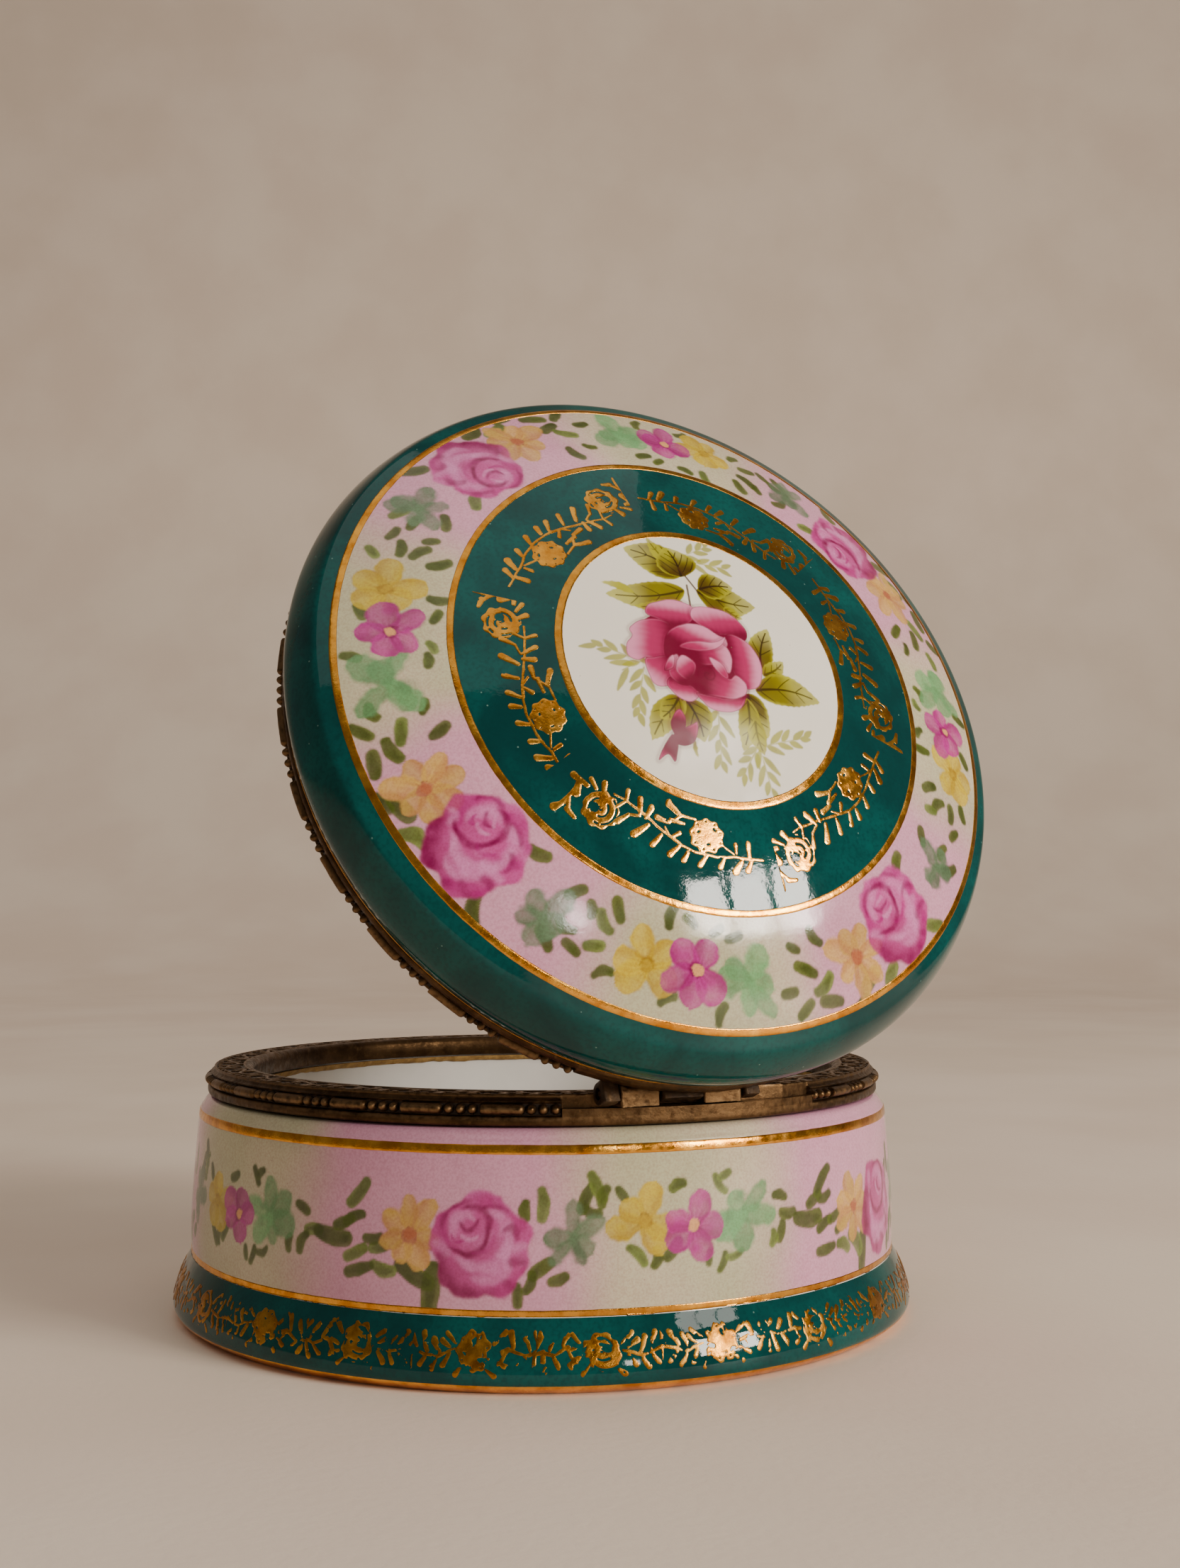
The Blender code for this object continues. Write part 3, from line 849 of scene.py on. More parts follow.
# What shows between the petals of the printed rose, drawn like a petal
ROSE_UNDERLAY = (
    (((-10.6, 3.6), (-6.0, 6.6), (0.0, 6.6), (5.4, 3.6), (6.6, 0.0), (5.0, -4.0), (1.0, -6.8), (-3.6, -5.8),
     (-8.0, -4.0), (-9.8, 0.0)), (30.0, 0.0), (6.0, 0.0)),
)
# Petals from back to front: outline, then the place where the petal is light and the place where it is dark
ROSE_PETALS = (
    (((-8.2, 6.4), (-7.6, 7.8), (-5.8, 8.5), (-3.9, 8.9), (-2.0, 8.5), (-0.8, 7.6), (-1.2, 6.0), (-2.4, 5.0),
     (-4.5, 4.5), (-6.4, 5.4)), (-4.4, 8.6), (-4.6, 4.8)),
    (((-1.6, 6.2), (-1.0, 7.7), (0.8, 8.1), (3.6, 7.7), (5.3, 6.8), (6.5, 5.2), (6.6, 3.8), (5.6, 2.8),
     (4.0, 3.6), (1.4, 3.6), (-0.4, 4.8)), (2.0, 7.9), (2.6, 3.4)),
    (((-11.0, 4.0), (-9.6, 5.1), (-7.6, 5.6), (-6.0, 5.4), (-4.8, 4.4), (-5.0, 1.6), (-7.0, -0.8),
     (-9.4, -0.5), (-10.8, -0.9), (-12.0, -0.2), (-11.9, 1.6), (-10.9, 2.8)), (-11.6, 2.2), (-5.6, 1.4)),
    (((2.8, 3.2), (3.9, 3.9), (5.4, 3.4), (6.8, 2.2), (7.6, 0.2), (7.6, -1.6), (6.8, -3.6), (5.4, -4.5),
     (3.8, -4.2), (2.8, -2.0), (2.6, 0.8)), (7.4, -0.6), (3.0, -0.4)),
    (((-9.8, -0.8), (-8.4, -0.4), (-6.2, -0.2), (-5.0, -1.6), (-5.6, -3.6), (-7.2, -4.6), (-8.8, -4.7),
     (-9.6, -3.4)), (-9.2, -4.2), (-6.0, -0.8)),
    (((-7.4, -4.4), (-6.4, -3.2), (-4.2, -4.4), (-3.0, -5.2), (-3.4, -6.4), (-4.8, -6.9), (-6.4, -6.0)),
     (-5.2, -6.6), (-4.8, -3.8)),
    (((-3.4, -5.6), (-1.6, -5.8), (1.4, -6.2), (3.4, -5.4), (4.4, -4.4), (4.0, -6.0), (2.8, -7.6),
     (0.8, -8.2), (-1.4, -7.9), (-2.6, -6.9)), (0.6, -8.0), (0.8, -5.6)),
    (((-6.4, 2.2), (-5.4, 3.8), (-3.4, 4.8), (-1.6, 5.1), (0.2, 4.7), (1.8, 3.6), (3.0, 3.0), (2.6, 1.6),
     (0.0, 2.0), (-3.0, 1.4), (-4.2, 0.0), (-5.2, -1.4), (-6.8, -0.2)), (-1.6, 5.0), (-3.4, 1.6)),
    (((-6.0, -0.6), (-5.0, 0.1), (-4.6, -1.6), (-3.0, -3.2), (-3.6, -4.4), (-5.6, -4.4), (-6.8, -2.8)),
     (-5.8, 0.0), (-4.6, -3.8)),
    (((-4.0, -3.0), (-2.6, -1.6), (0.2, -1.4), (2.0, -3.2), (3.2, -2.6), (4.5, -3.8), (4.1, -5.4),
     (2.0, -6.2), (-0.6, -6.0), (-2.8, -5.6), (-3.9, -4.4)), (4.2, -4.8), (-0.8, -2.8)),
    (((-4.5, 0.9), (-3.2, 1.2), (-0.6, 1.0), (2.0, 2.2), (3.1, 0.8), (3.0, -0.8), (2.2, -2.4), (0.6, -1.4),
     (-1.4, -1.4), (-3.2, -0.8), (-4.4, -0.6)), (3.0, 0.4), (-1.6, 0.2)),
    (((-4.4, 0.0), (-3.4, -0.4), (-2.6, -1.4), (-3.2, -3.0), (-4.4, -3.7), (-5.6, -2.6), (-5.4, -1.0)),
     (-4.9, -0.4), (-3.2, -3.0)),
    (((-7.4, -2.4), (-6.8, -1.0), (-5.6, 0.0), (-5.8, -1.6), (-6.4, -2.2)), (-6.0, -0.2), (-7.2, -2.6)),
    (((-4.4, 1.3), (-3.4, 2.0), (-1.4, 2.3), (0.6, 2.3), (1.9, 2.7), (2.9, 3.3), (2.4, 2.3), (1.0, 1.3),
     (-0.8, 0.8), (-2.6, 0.8)), (0.2, 2.4), (-1.4, -0.6)),
    (((-0.4, -0.2), (0.6, -0.5), (1.5, -1.2), (2.0, -2.6), (1.7, -3.3), (0.9, -2.8), (0.0, -1.5)),
     (0.6, -0.5), (2.4, -4.4)),
)
# Leaves: base, tip, width, and how strong the brown is
LEAVES = (
    ((-1.0, 13.4), (-8.6, 17.8), 6.4, 0.9), ((-1.4, 14.2), (-4.6, 20.2), 2.4, 0.1),
    ((-1.2, 13.0), (-2.2, 18.4), 6.4, 1.0), ((-1.4, 10.6), (-13.2, 9.6), 5.0, 0.55),
    ((-9.0, 9.8), (-13.4, 11.6), 1.4, 0.0), ((-2.2, 8.6), (-9.6, 7.6), 2.4, 0.3),
    ((0.4, 10.6), (9.4, 9.0), 5.6, 0.75), ((0.8, 11.0), (6.6, 12.0), 4.6, 0.95),
    ((4.0, 8.2), (6.6, 6.6), 2.2, 0.1), ((7.4, -1.6), (10.4, 5.6), 4.2, 0.85),
    ((7.6, -2.2), (11.6, 0.4), 2.8, 0.4), ((5.8, -4.6), (16.6, -5.2), 5.0, 0.65),
    ((4.4, -5.2), (6.4, -11.6), 4.8, 0.95), ((4.2, -6.0), (2.2, -13.6), 3.6, 0.4),
    ((4.8, -9.0), (5.4, -14.0), 3.0, 0.05), ((-5.2, -6.4), (-3.4, -12.6), 4.8, 0.8),
    ((-5.4, -6.4), (-10.8, -12.4), 4.2, 0.3), ((-6.0, -6.2), (-9.2, -9.4), 3.6, 0.5),
    ((-4.8, -12.2), (-4.6, -14.8), 0.8, 0.7),
)
LEAF_STEMS = ((-1.2, 14.6, 0.6, 10.6), (-0.8, 11.6, -1.2, 8.0))
ROSE_EYE = (-1.1, -2.8)
# Pale sprigs: start, direction, number of leaf pairs, leaf length
SPRIGS = (
    ((-11.2, -1.4), 205, 0, 3.2), ((-9.6, -1.6), 152, 3, 2.5), ((-10.2, -2.0), 252, 3, 2.4),
    ((-0.6, -7.8), 262, 3, 2.6), ((0.2, 17.0), 25, 2, 2.2), ((1.0, 16.0), 352, 2, 2.4),
    ((5.6, -12.6), 12, 3, 2.5), ((4.8, -13.0), 278, 3, 2.7), ((4.6, -12.8), 232, 2, 2.2),
)
# The bud, drawn like the petals
BUD = (
    (((-6.4, -8.0), (-5.6, -9.4), (-6.4, -11.6), (-7.6, -11.4), (-7.8, -9.8)), (-6.2, -8.2), (-7.0, -11.0)),
    (((-7.6, -11.4), (-5.0, -10.2), (-4.0, -9.9), (-4.6, -12.2), (-6.0, -13.1), (-7.4, -12.8)), (-4.4, -10.2),
     (-7.2, -12.6)),
    (((-8.0, -11.6), (-7.2, -12.2), (-7.4, -13.8), (-8.0, -15.2), (-8.8, -14.2), (-10.2, -15.0),
     (-9.4, -13.4)), (-9.8, -14.8), (-7.6, -12.4)),
)


def curve_through(outline, steps=6):
    """A closed smooth outline through the points."""
    p = np.array(outline, float)
    t = np.linspace(0, 1, steps, endpoint=False)[None, :, None]
    return spline(*(np.roll(p, shift, 0)[:, None, :] for shift in (1, 0, -1, -2)), t).reshape(-1, 2)


def outline_distance(x, y, outline):
    """Distance outside a closed outline, negative inside."""
    nearest = np.full(len(x), 1e9)
    inside = np.zeros(len(x), bool)
    for (x0, y0), (x1, y1) in zip(outline, np.roll(outline, -1, 0)):
        away, _ = capsule(x, y, x0, y0, x1, y1)
        nearest = np.minimum(nearest, away)
        crosses = (y0 > y) != (y1 > y)
        inside ^= crosses & (x < (x1 - x0) * (y - y0) / (y1 - y0 + 1e-12) + x0)
    return np.where(inside, -nearest, nearest)


def box_of(x, y, outline, margin=1.0):
    low, high = outline.min(0) - margin, outline.max(0) + margin
    return np.nonzero((x > low[0]) & (x < high[0]) & (y > low[1]) & (y < high[1]))[0]


def print_petal(canvas, x, y, outline, light, dark, seed, darker):
    """One shaded petal with a fine dark edge, a pale rim on its light side and faint veins."""
    curve = curve_through(outline)
    chosen = box_of(x, y, curve)
    u, v = x[chosen], y[chosen]
    spot = canvas.points[chosen]
    distance = outline_distance(u, v, curve) + 0.05 * noise(spot, 0.9, seed)
    way = np.array(dark) - np.array(light)
    t = ((u - light[0]) * way[0] + (v - light[1]) * way[1]) / (way @ way)
    t = np.clip(t + darker + 0.10 * noise(spot, 2.4, seed + 1), 0, 1)
    veins = 0.012 * np.sin((u * way[1] - v * way[0]) / np.hypot(*way) * 7 + 2 * noise(spot, 2.0, seed + 2, 1))
    t = np.clip(t + veins, 0, 1)[:, None]
    tone = np.where(t < 0.5, PRINT_LIGHT + (PRINT_MID - PRINT_LIGHT) * smoothstep(0.0, 0.5, t),
                    PRINT_MID + (PRINT_DARK - PRINT_MID) * smoothstep(0.5, 1.0, t))
    shadow = smoothstep(0.55, 0.0, np.abs(distance - 0.2)) * smoothstep(0.9, 0.2, distance)
    canvas.lay(chosen, 0.32 * shadow * smoothstep(0.02, 0.2, distance), PRINT_DARK)
    canvas.lay(chosen, smoothstep(0.07, -0.07, distance), tone)
    rim = smoothstep(-0.34, -0.14, distance) * smoothstep(0.02, -0.10, distance)
    canvas.lay(chosen, 0.42 * rim * (1 - t[:, 0]), PRINT_LIGHT)
    line = smoothstep(0.13, 0.02, np.abs(distance + 0.02))
    canvas.lay(chosen, 0.55 * line, PRINT_DARK)


LEAF_RIBS = 3.6  # pairs of side veins in a leaf's length


def print_leaf(canvas, x, y, base, tip, width, brown, seed):
    """A leaf with a toothed edge, a brown heart and brown veins."""
    base, tip = np.array(base), np.array(tip)
    length = np.hypot(*(tip - base))
    way = math.degrees(math.atan2(*(tip - base)[::-1]))
    chosen = box_of(x, y, np.array([base, tip]), width)
    u, v = turned_by(x[chosen] - base[0], y[chosen] - base[1], way)
    spot = canvas.points[chosen]
    v = v - 0.07 * length * np.sin(math.pi * np.clip(u / length, 0, 1)) * (1 if seed % 2 else -1)
    t = np.clip(u / length, 0, 1)
    half = width / 2 * np.sin(math.pi * t**0.8) ** 0.8
    teeth = 0.11 * np.abs(np.sin(u * 3.1 - np.abs(v) * 1.2)) * smoothstep(0.1, 0.4, t)
    beyond = np.maximum(np.maximum(-u, u - length), 0)
    across = np.abs(v) - half + teeth
    distance = np.hypot(np.maximum(across, 0), beyond) + np.minimum(across, 0)
    distance += 0.10 * noise(spot, 1.2, seed)
    light = np.clip(0.55 + 0.5 * noise(spot, 2.6, seed + 1) + 0.5 * t - 0.25, 0, 1)[:, None]
    tone = LEAF_MID * (1 - light) + LEAF_LIGHT * light
    from_base = t + 0.25 * noise(spot, 2.2, seed + 2)
    heart = 0.95 * (brown * smoothstep(1.1, 0.2, from_base) * smoothstep(0.15, -0.7, distance))[:, None]
    tone = tone * (1 - heart) + LEAF_DARK * heart
    canvas.lay(chosen, smoothstep(0.10, -0.10, distance) * (0.86 + 0.14 * smoothstep(0.9, 0.4, t)), tone)
    if width < 2:
        return
    ribs = np.abs(((u - np.abs(v) - 0.12 * v * v) / length * LEAF_RIBS + 0.3) % 1 - 0.5) * length / LEAF_RIBS
    vein = np.maximum(smoothstep(0.22, 0.08, np.abs(v) * (0.6 + t)) * (t < 0.88),
                      0.9 * smoothstep(0.18, 0.05, ribs) * (t < 0.8)) * smoothstep(-0.15, -0.6, distance)
    canvas.lay(chosen, (0.6 + 0.4 * brown) * vein, LEAF_DARK * 0.5)


def print_sprig(canvas, x, y, start, way, pairs, length, seed):
    """A faint yellow-green sprig: a thin stem with pairs of pointed leaves."""
    reach = length * (pairs + 1) * 0.75 + 1
    chosen = np.nonzero(np.hypot(x - start[0], y - start[1]) < reach + length)[0]
    u, v = turned_by(x[chosen] - start[0], y[chosen] - start[1], way)
    v = v - 0.05 * u * u / reach
    away, _ = capsule(u, v, 0, 0, reach - 1.2, 0)
    marks = [away - 0.08]
    for pair in range(pairs + 1):
        for side in (-1, 1):
            root = reach * (pair + 0.25 + 0.2 * side) / (pairs + 1.3)
            tilt = side * (34 - 5 * pair + 7 * math.sin(seed + 2.3 * pair + side))
            long = length * (1.1 - 0.12 * pair + 0.15 * math.sin(1.7 * seed + 3.1 * pair + 2 * side))
            distance, _ = petal(u - root, v, long, 0.95, tilt, 0.25, False)
            marks.append(distance)
    distance = np.min(marks, axis=0) + 0.06 * noise(canvas.points[chosen], 0.7, seed)
    tone = SPRIG_GREEN * (1 + 0.18 * noise(canvas.points[chosen], 1.8, seed + 1))[:, None]
    canvas.lay(chosen, 0.85 * smoothstep(0.12, -0.12, distance), tone)


def paint_medallion(x, y, points):
    canvas = Canvas(np.tile(PRINT_GROUND, (len(x), 1)), points)
    everywhere = np.arange(len(x))
    for k, sprig in enumerate(SPRIGS):
        print_sprig(canvas, x, y, *sprig, 300 + k)
    stems = np.minimum(*(capsule(x, y, *ends)[0] for ends in LEAF_STEMS))
    for k, leaf in enumerate(LEAVES):
        print_leaf(canvas, x, y, *leaf, 400 + 5 * k)
    canvas.lay(everywhere, 0.9 * smoothstep(0.2, 0.1, stems), LEAF_DARK)
    for k, shape in enumerate(BUD + ROSE_UNDERLAY + ROSE_PETALS):
        print_petal(canvas, x, y, *shape, 500 + 5 * k, 0.5 if k < len(BUD) else -0.05)
    u, v = x - ROSE_EYE[0], y - ROSE_EYE[1]
    swirl = np.hypot(u, v)
    coil = np.abs((swirl - 0.16 * np.arctan2(v, u)) % 1.0 - 0.5)
    canvas.lay(everywhere, 0.5 * smoothstep(0.30, 0.45, coil) * smoothstep(1.9, 0.9, swirl), PRINT_DARK * 0.7)
    return canvas.rgb


# ---------------------------------------------------------------- gilded garlands

# Lid garland, one of six: stems and leaves as degrees from its start and radius, at both ends, then width
LID_GARLAND = (
    (0.2, 28.1, 3.0, 27.8, 0.34), (3.0, 27.8, 8.0, 27.5, 0.34), (8.0, 27.5, 14.0, 27.8, 0.34),
    (14.0, 27.8, 20.0, 27.7, 0.34), (20.0, 27.7, 25.0, 27.3, 0.34), (25.0, 27.2, 28.5, 26.7, 0.4),
    (28.5, 26.7, 33.0, 26.1, 0.34), (33.0, 26.1, 38.0, 25.5, 0.32), (38.0, 25.5, 44.0, 25.2, 0.3),
    (44.0, 25.2, 47.5, 25.4, 0.24), (3.6, 28.0, 5.2, 29.2, 0.62), (6.6, 28.0, 8.6, 29.4, 0.76),
    (12.0, 27.9, 13.0, 29.0, 0.6), (17.2, 28.0, 18.6, 29.2, 0.6), (22.4, 28.0, 23.4, 29.1, 0.6),
    (25.2, 27.6, 27.2, 28.9, 0.6), (30.6, 27.0, 32.0, 28.6, 0.6), (35.0, 26.6, 37.6, 28.5, 0.7),
    (38.2, 26.0, 41.0, 26.6, 0.36), (41.0, 26.6, 42.8, 28.2, 0.56), (4.0, 27.4, 4.0, 26.0, 0.66),
    (8.2, 27.0, 8.2, 26.0, 0.5), (9.0, 27.2, 12.4, 26.2, 0.26), (27.4, 26.6, 25.6, 25.9, 0.5),
    (28.6, 26.6, 30.4, 25.8, 0.3), (36.4, 25.8, 36.0, 24.4, 0.7), (38.4, 25.6, 40.2, 24.1, 0.66),
    (43.4, 25.3, 44.6, 24.0, 0.52), (43.6, 25.4, 44.8, 26.7, 0.42), (21.4, 23.5, 26.0, 23.6, 0.34),
    (26.0, 23.6, 28.4, 24.4, 0.4), (27.0, 23.6, 31.6, 22.7, 0.66), (24.8, 24.5, 29.4, 24.6, 0.5),
    (29.6, 25.0, 33.6, 25.1, 0.62), (50.0, 26.2, 51.4, 25.2, 0.7), (52.2, 26.5, 55.2, 25.9, 0.52),
    (54.6, 26.9, 59.0, 27.2, 0.72), (56.8, 27.2, 55.4, 28.6, 0.86), (56.4, 28.6, 56.0, 31.0, 0.5),
    (56.0, 31.0, 56.6, 32.0, 0.72), (51.8, 31.2, 54.0, 31.0, 0.6), (54.0, 30.8, 56.0, 29.9, 0.5),
    (46.4, 29.6, 45.6, 30.2, 0.3),
)
# Foot garland: a rose's sprigs, as degrees and height from its middle, at both ends, then width
FOOT_GARLAND = (
    (2.5, 0.9, 4.0, 1.9, 0.5), (2.6, 0.1, 5.2, -0.5, 0.34), (3.4, 0.4, 4.6, 1.1, 0.5),
    (3.4, -0.5, 4.2, -1.7, 0.6), (5.2, -0.5, 8.4, 0.2, 0.34), (4.8, 0.0, 5.6, 1.3, 0.56),
    (5.2, -0.9, 5.9, -2.1, 0.6), (6.3, 0.2, 7.0, 1.9, 0.56), (6.6, -0.6, 7.4, -1.7, 0.5),
    (7.6, 0.6, 8.4, 1.7, 0.5), (8.2, 0.2, 9.8, -0.4, 0.34), (8.4, -0.2, 8.9, -1.9, 0.6),
    (9.2, 0.3, 9.9, 1.5, 0.56), (9.8, -0.6, 10.6, -1.6, 0.5), (9.8, -0.4, 11.6, 0.3, 0.34),
    (11.2, 0.6, 11.9, 1.9, 0.6), (-2.7, -0.7, -4.2, -1.6, 0.56), (-2.6, 1.0, -3.8, 2.0, 0.5),
    (-3.0, 0.1, -4.4, 0.3, 0.5), (-1.9, -1.8, -2.8, -2.6, 0.5), (12.2, 0.0, 12.9, -1.2, 0.5),
    (1.9, -1.9, 2.7, -2.7, 0.5),
)
LID_STARTS = (53.0, 113.0, 173.0, 233.0, 293.5, 353.5)
LID_MIDDLE, LID_RADIUS, THICKEST_STEM = 29, 28.0, 0.45
# Degrees, radius, width, height, and whether the rose is a filled disc
LID_GILT_ROSES = ((17.3, 25.3, 2.6, 2.2, True), (48.0, 28.2, 2.4, 2.4, False))
FOOT_ROSES, FOOT_RADIUS, FOOT_MIDDLE = 22, 56, 5.4
FOOT_REACH = 8.4  # degrees from a rose within which the sprigs of the one before are drawn
FAR = 9.0  # a distance for where there is no gold near


def rose_rings(reach, way, size, filled, seed):
    """A gilded rose: a scalloped disc, or one broken by curled petals, with a few pricked holes."""
    distance = reach - size * (1 + 0.06 * np.cos(9 * way + seed))
    if filled:
        inner = np.abs((reach - 0.55 * size) - 0.2 * np.sin(2 * way + seed))
        outer = np.abs(reach - 0.84 * size)
        hole = 0.16 - inner - 0.5 * smoothstep(0.2, 0.5, np.abs(np.sin(1.5 * way + seed)))
        other = 0.12 - outer - 0.5 * smoothstep(0.15, 0.4, np.abs(np.sin(4.5 * way)))
    else:
        coil = np.abs((reach / size * 2.4 - way / (2 * math.pi) + seed) % 1 - 0.5)
        hole = 0.30 - 2.2 * coil * (reach > 0.2) - 0.6 * smoothstep(0.1, 0.6, np.sin(2.5 * way + seed))
        u, v = reach * np.cos(way) - 0.34 * size, reach * np.sin(way) - 0.1 * size
        other = 0.26 * size - np.hypot(u, v)
    return np.maximum(distance, np.maximum(hole, other))


def leaf_half(width, t):
    """Half the width of a gilded leaf, which is thicker at its tip."""
    return width * (0.42 + 0.24 * t)


def lid_garland_field(turn, radius, height):
    field = np.full(turn.shape, FAR)
    degrees = np.degrees(turn)
    for k, start in enumerate(LID_STARTS):
        along = (degrees - start + 180) % 360 - 180
        near = (along > -4) & (along < 64)
        spot = wheel(radius[near], turn[near], height[near])
        a, r = along[near], radius[near] + 0.16 * noise(spot, 2.2, 95)
        x = np.radians(a - LID_MIDDLE) * LID_RADIUS + 0.16 * noise(spot, 2.2, 96)
        found = np.full(len(a), FAR)
        for a0, r0, a1, r1, width in LID_GARLAND:
            x0, x1 = (math.radians(end - LID_MIDDLE) * LID_RADIUS for end in (a0, a1))
            away, t = capsule(x, r, x0, r0, x1, r1)
            found = np.minimum(found, away - (leaf_half(width, t) if width > THICKEST_STEM else width * 0.5))
        for middle, level, wide, tall, filled in LID_GILT_ROSES:
            u, v = x - math.radians(middle - LID_MIDDLE) * LID_RADIUS, (r - level) * wide / tall
            rose = rose_rings(np.hypot(u, v), np.arctan2(v, u), wide, filled, k + 1.7 * filled)
            found = np.minimum(found, rose)
        field[near] = found
    return field


def foot_garland_field(turn, radius, height):
    step = 2 * math.pi / FOOT_ROSES
    number = np.round(turn / step - 0.02)
    turned = number % 2 > 0.5
    spot = wheel(radius, turn, height)
    x = (turn - number * step) * FOOT_RADIUS * np.where(turned, -1, 1)
    x = x + 0.7 * noise(spot, 3.4, 97).reshape(turn.shape)
    y = height - FOOT_MIDDLE + 0.55 * noise(spot, 3.0, 98).reshape(turn.shape)
    found = np.full(turn.shape, FAR)
    degree = math.radians(1) * FOOT_RADIUS
    for a0, h0, a1, h1, width in FOOT_GARLAND:
        for shift in (-360 / FOOT_ROSES, 0):
            if shift and abs(a1 + shift) > FOOT_REACH:
                continue
            away, t = capsule(x, y, (a0 + shift) * degree, h0, (a1 + shift) * degree, h1)
            found = np.minimum(found, away - leaf_half(width, t))
    reach, way = np.hypot(x, y), np.arctan2(y, x)
    roses = np.where(turned, rose_rings(reach, way, 2.25, False, 2.0), rose_rings(reach, way, 2.3, True, 0.6))
    return np.minimum(found, roses)


# ---------------------------------------------------------------- brass collars

COLLAR_STEPS = 2160
PLAIN_HALF = 21.5  # degrees each side of the hinge that are plain
HINGE_WALL, HINGE_LEDGE = 49.0, 51.9  # the flat the knuckles sit against, and the ledge they stand on
FACE_RADIUS = 50.9  # what lies further out is the collar's face
# Bands of depth: the hinge's ledge, the moulding at the foot of the face, and the row of bars and beads
LEDGE, MOULDING, ROW = (1.95, 3.1), (2.98, 3.25), (1.34, 2.82)
RIM = (46.2, 50.7)  # the leafy rim, as a band of radius
CELL = 12.0  # degrees from bar to bar
BAR, BEADS = (3.4, 8.6), (-1.76, 0, 1.76)  # a bar's ends and the places of three beads, in degrees
ROW_RADIUS, ROW_DEPTH, ROW_REACH, ROW_RISE, BEAD_RADIUS = 52, 2.05, 0.72, 1.02, 0.66
VINE_RADIUS, VINE_SWING, INNER_LINE, BEAD_LINE = 48.3, 0.9, 46.5, 50.2
LEAF_TURNS = 5 / 12  # vine leaves in a degree
RIM_CUT = 0.26
# Section of a collar from inside the skirt round to the bore: radius and depth from the parting plane
COLLAR_OUTLINE = (
    [(48.3, 1.2), (48.3, 4.1), (48.45, 4.2), (51.45, 4.2), (51.75, 4.12), (51.88, 3.9)]
    + [(51.9, 3.6), (51.88, 3.2), (51.8, 3.02), (51.5, 2.92), (51.32, 2.84)]
    + [(51.32, depth) for depth in (*np.linspace(2.78, 1.96, 10), *np.linspace(1.93, 1.32, 9))]
    + [(51.42, 1.24), (51.5, 1.12), (51.46, 1.0), (51.2, 0.9), (51.02, 0.72), (50.96, 0.55), (51.0, 0.42)]
    + [(50.96, 0.28), (50.8, 0.18)] + [(radius, 0.15) for radius in np.linspace(50.6, 46.3, 26)]
    + [(46.0, 0.17), (45.7, 0.28), (45.4, 0.5), (45.2, 0.8), (45.1, 1.1), (45.1, 3.25), (45.15, 3.3)]
    + [(45.85, 3.3), (45.9, 3.25), (45.9, 1.2)])


def within(value, band):
    return (value > band[0]) & (value < band[1])


def collar_relief(turn, radius, depth):
    """How far the ornament stands out on the face, and how far it is cut into the rim."""
    degrees = np.degrees(turn)
    from_hinge = np.abs((degrees + 180) % 360 - 180)
    x, y = np.radians((degrees + 3.0) % CELL - 3.0) * ROW_RADIUS, depth - ROW_DEPTH
    bar, _ = capsule(x, y, np.radians(BAR[0]) * ROW_RADIUS, 0, np.radians(BAR[1]) * ROW_RADIUS, 0)
    reach = bar / ROW_REACH
    for bead in BEADS:
        reach = np.minimum(reach, np.hypot(x - np.radians(bead) * ROW_RADIUS, y) / BEAD_RADIUS)
    out = ROW_RISE * np.sqrt(np.clip(1 - reach**2, 0, 1))
    out *= (from_hinge > PLAIN_HALF) & (np.abs(y) < 0.78)
    middle = VINE_RADIUS + VINE_SWING * np.sin(np.radians(degrees) * 30)
    vine = np.abs(radius - middle) / 0.34
    side = np.where((degrees * LEAF_TURNS) % 2 < 1, 1, -1)
    u, v = ((degrees * LEAF_TURNS) % 1 - 0.5) * 2.0, (radius - middle) * side - 1.1
    leaves = np.hypot(u / 0.72, v / 0.85) + 0.25 * np.cos(5 * np.arctan2(v, u))
    rim_bead = np.hypot(((degrees / 2.4) % 1 - 0.5) * 2.1 / 0.62, (radius - BEAD_LINE) / 0.36)
    inner = np.abs(radius - INNER_LINE) / 0.22
    high = np.min([vine, leaves, rim_bead, inner], axis=0)
    cut = RIM_CUT * smoothstep(0.75, 1.15, high) * (radius < 50.75) * (radius > 46.05) * (depth < 0.2)
    return out, cut


def height_of(depth, side):
    """Height of a depth from the parting plane; side is -1 on the base and 1 on the lid."""
    return depth * side + (PARTING_Z if side < 0 else 0)


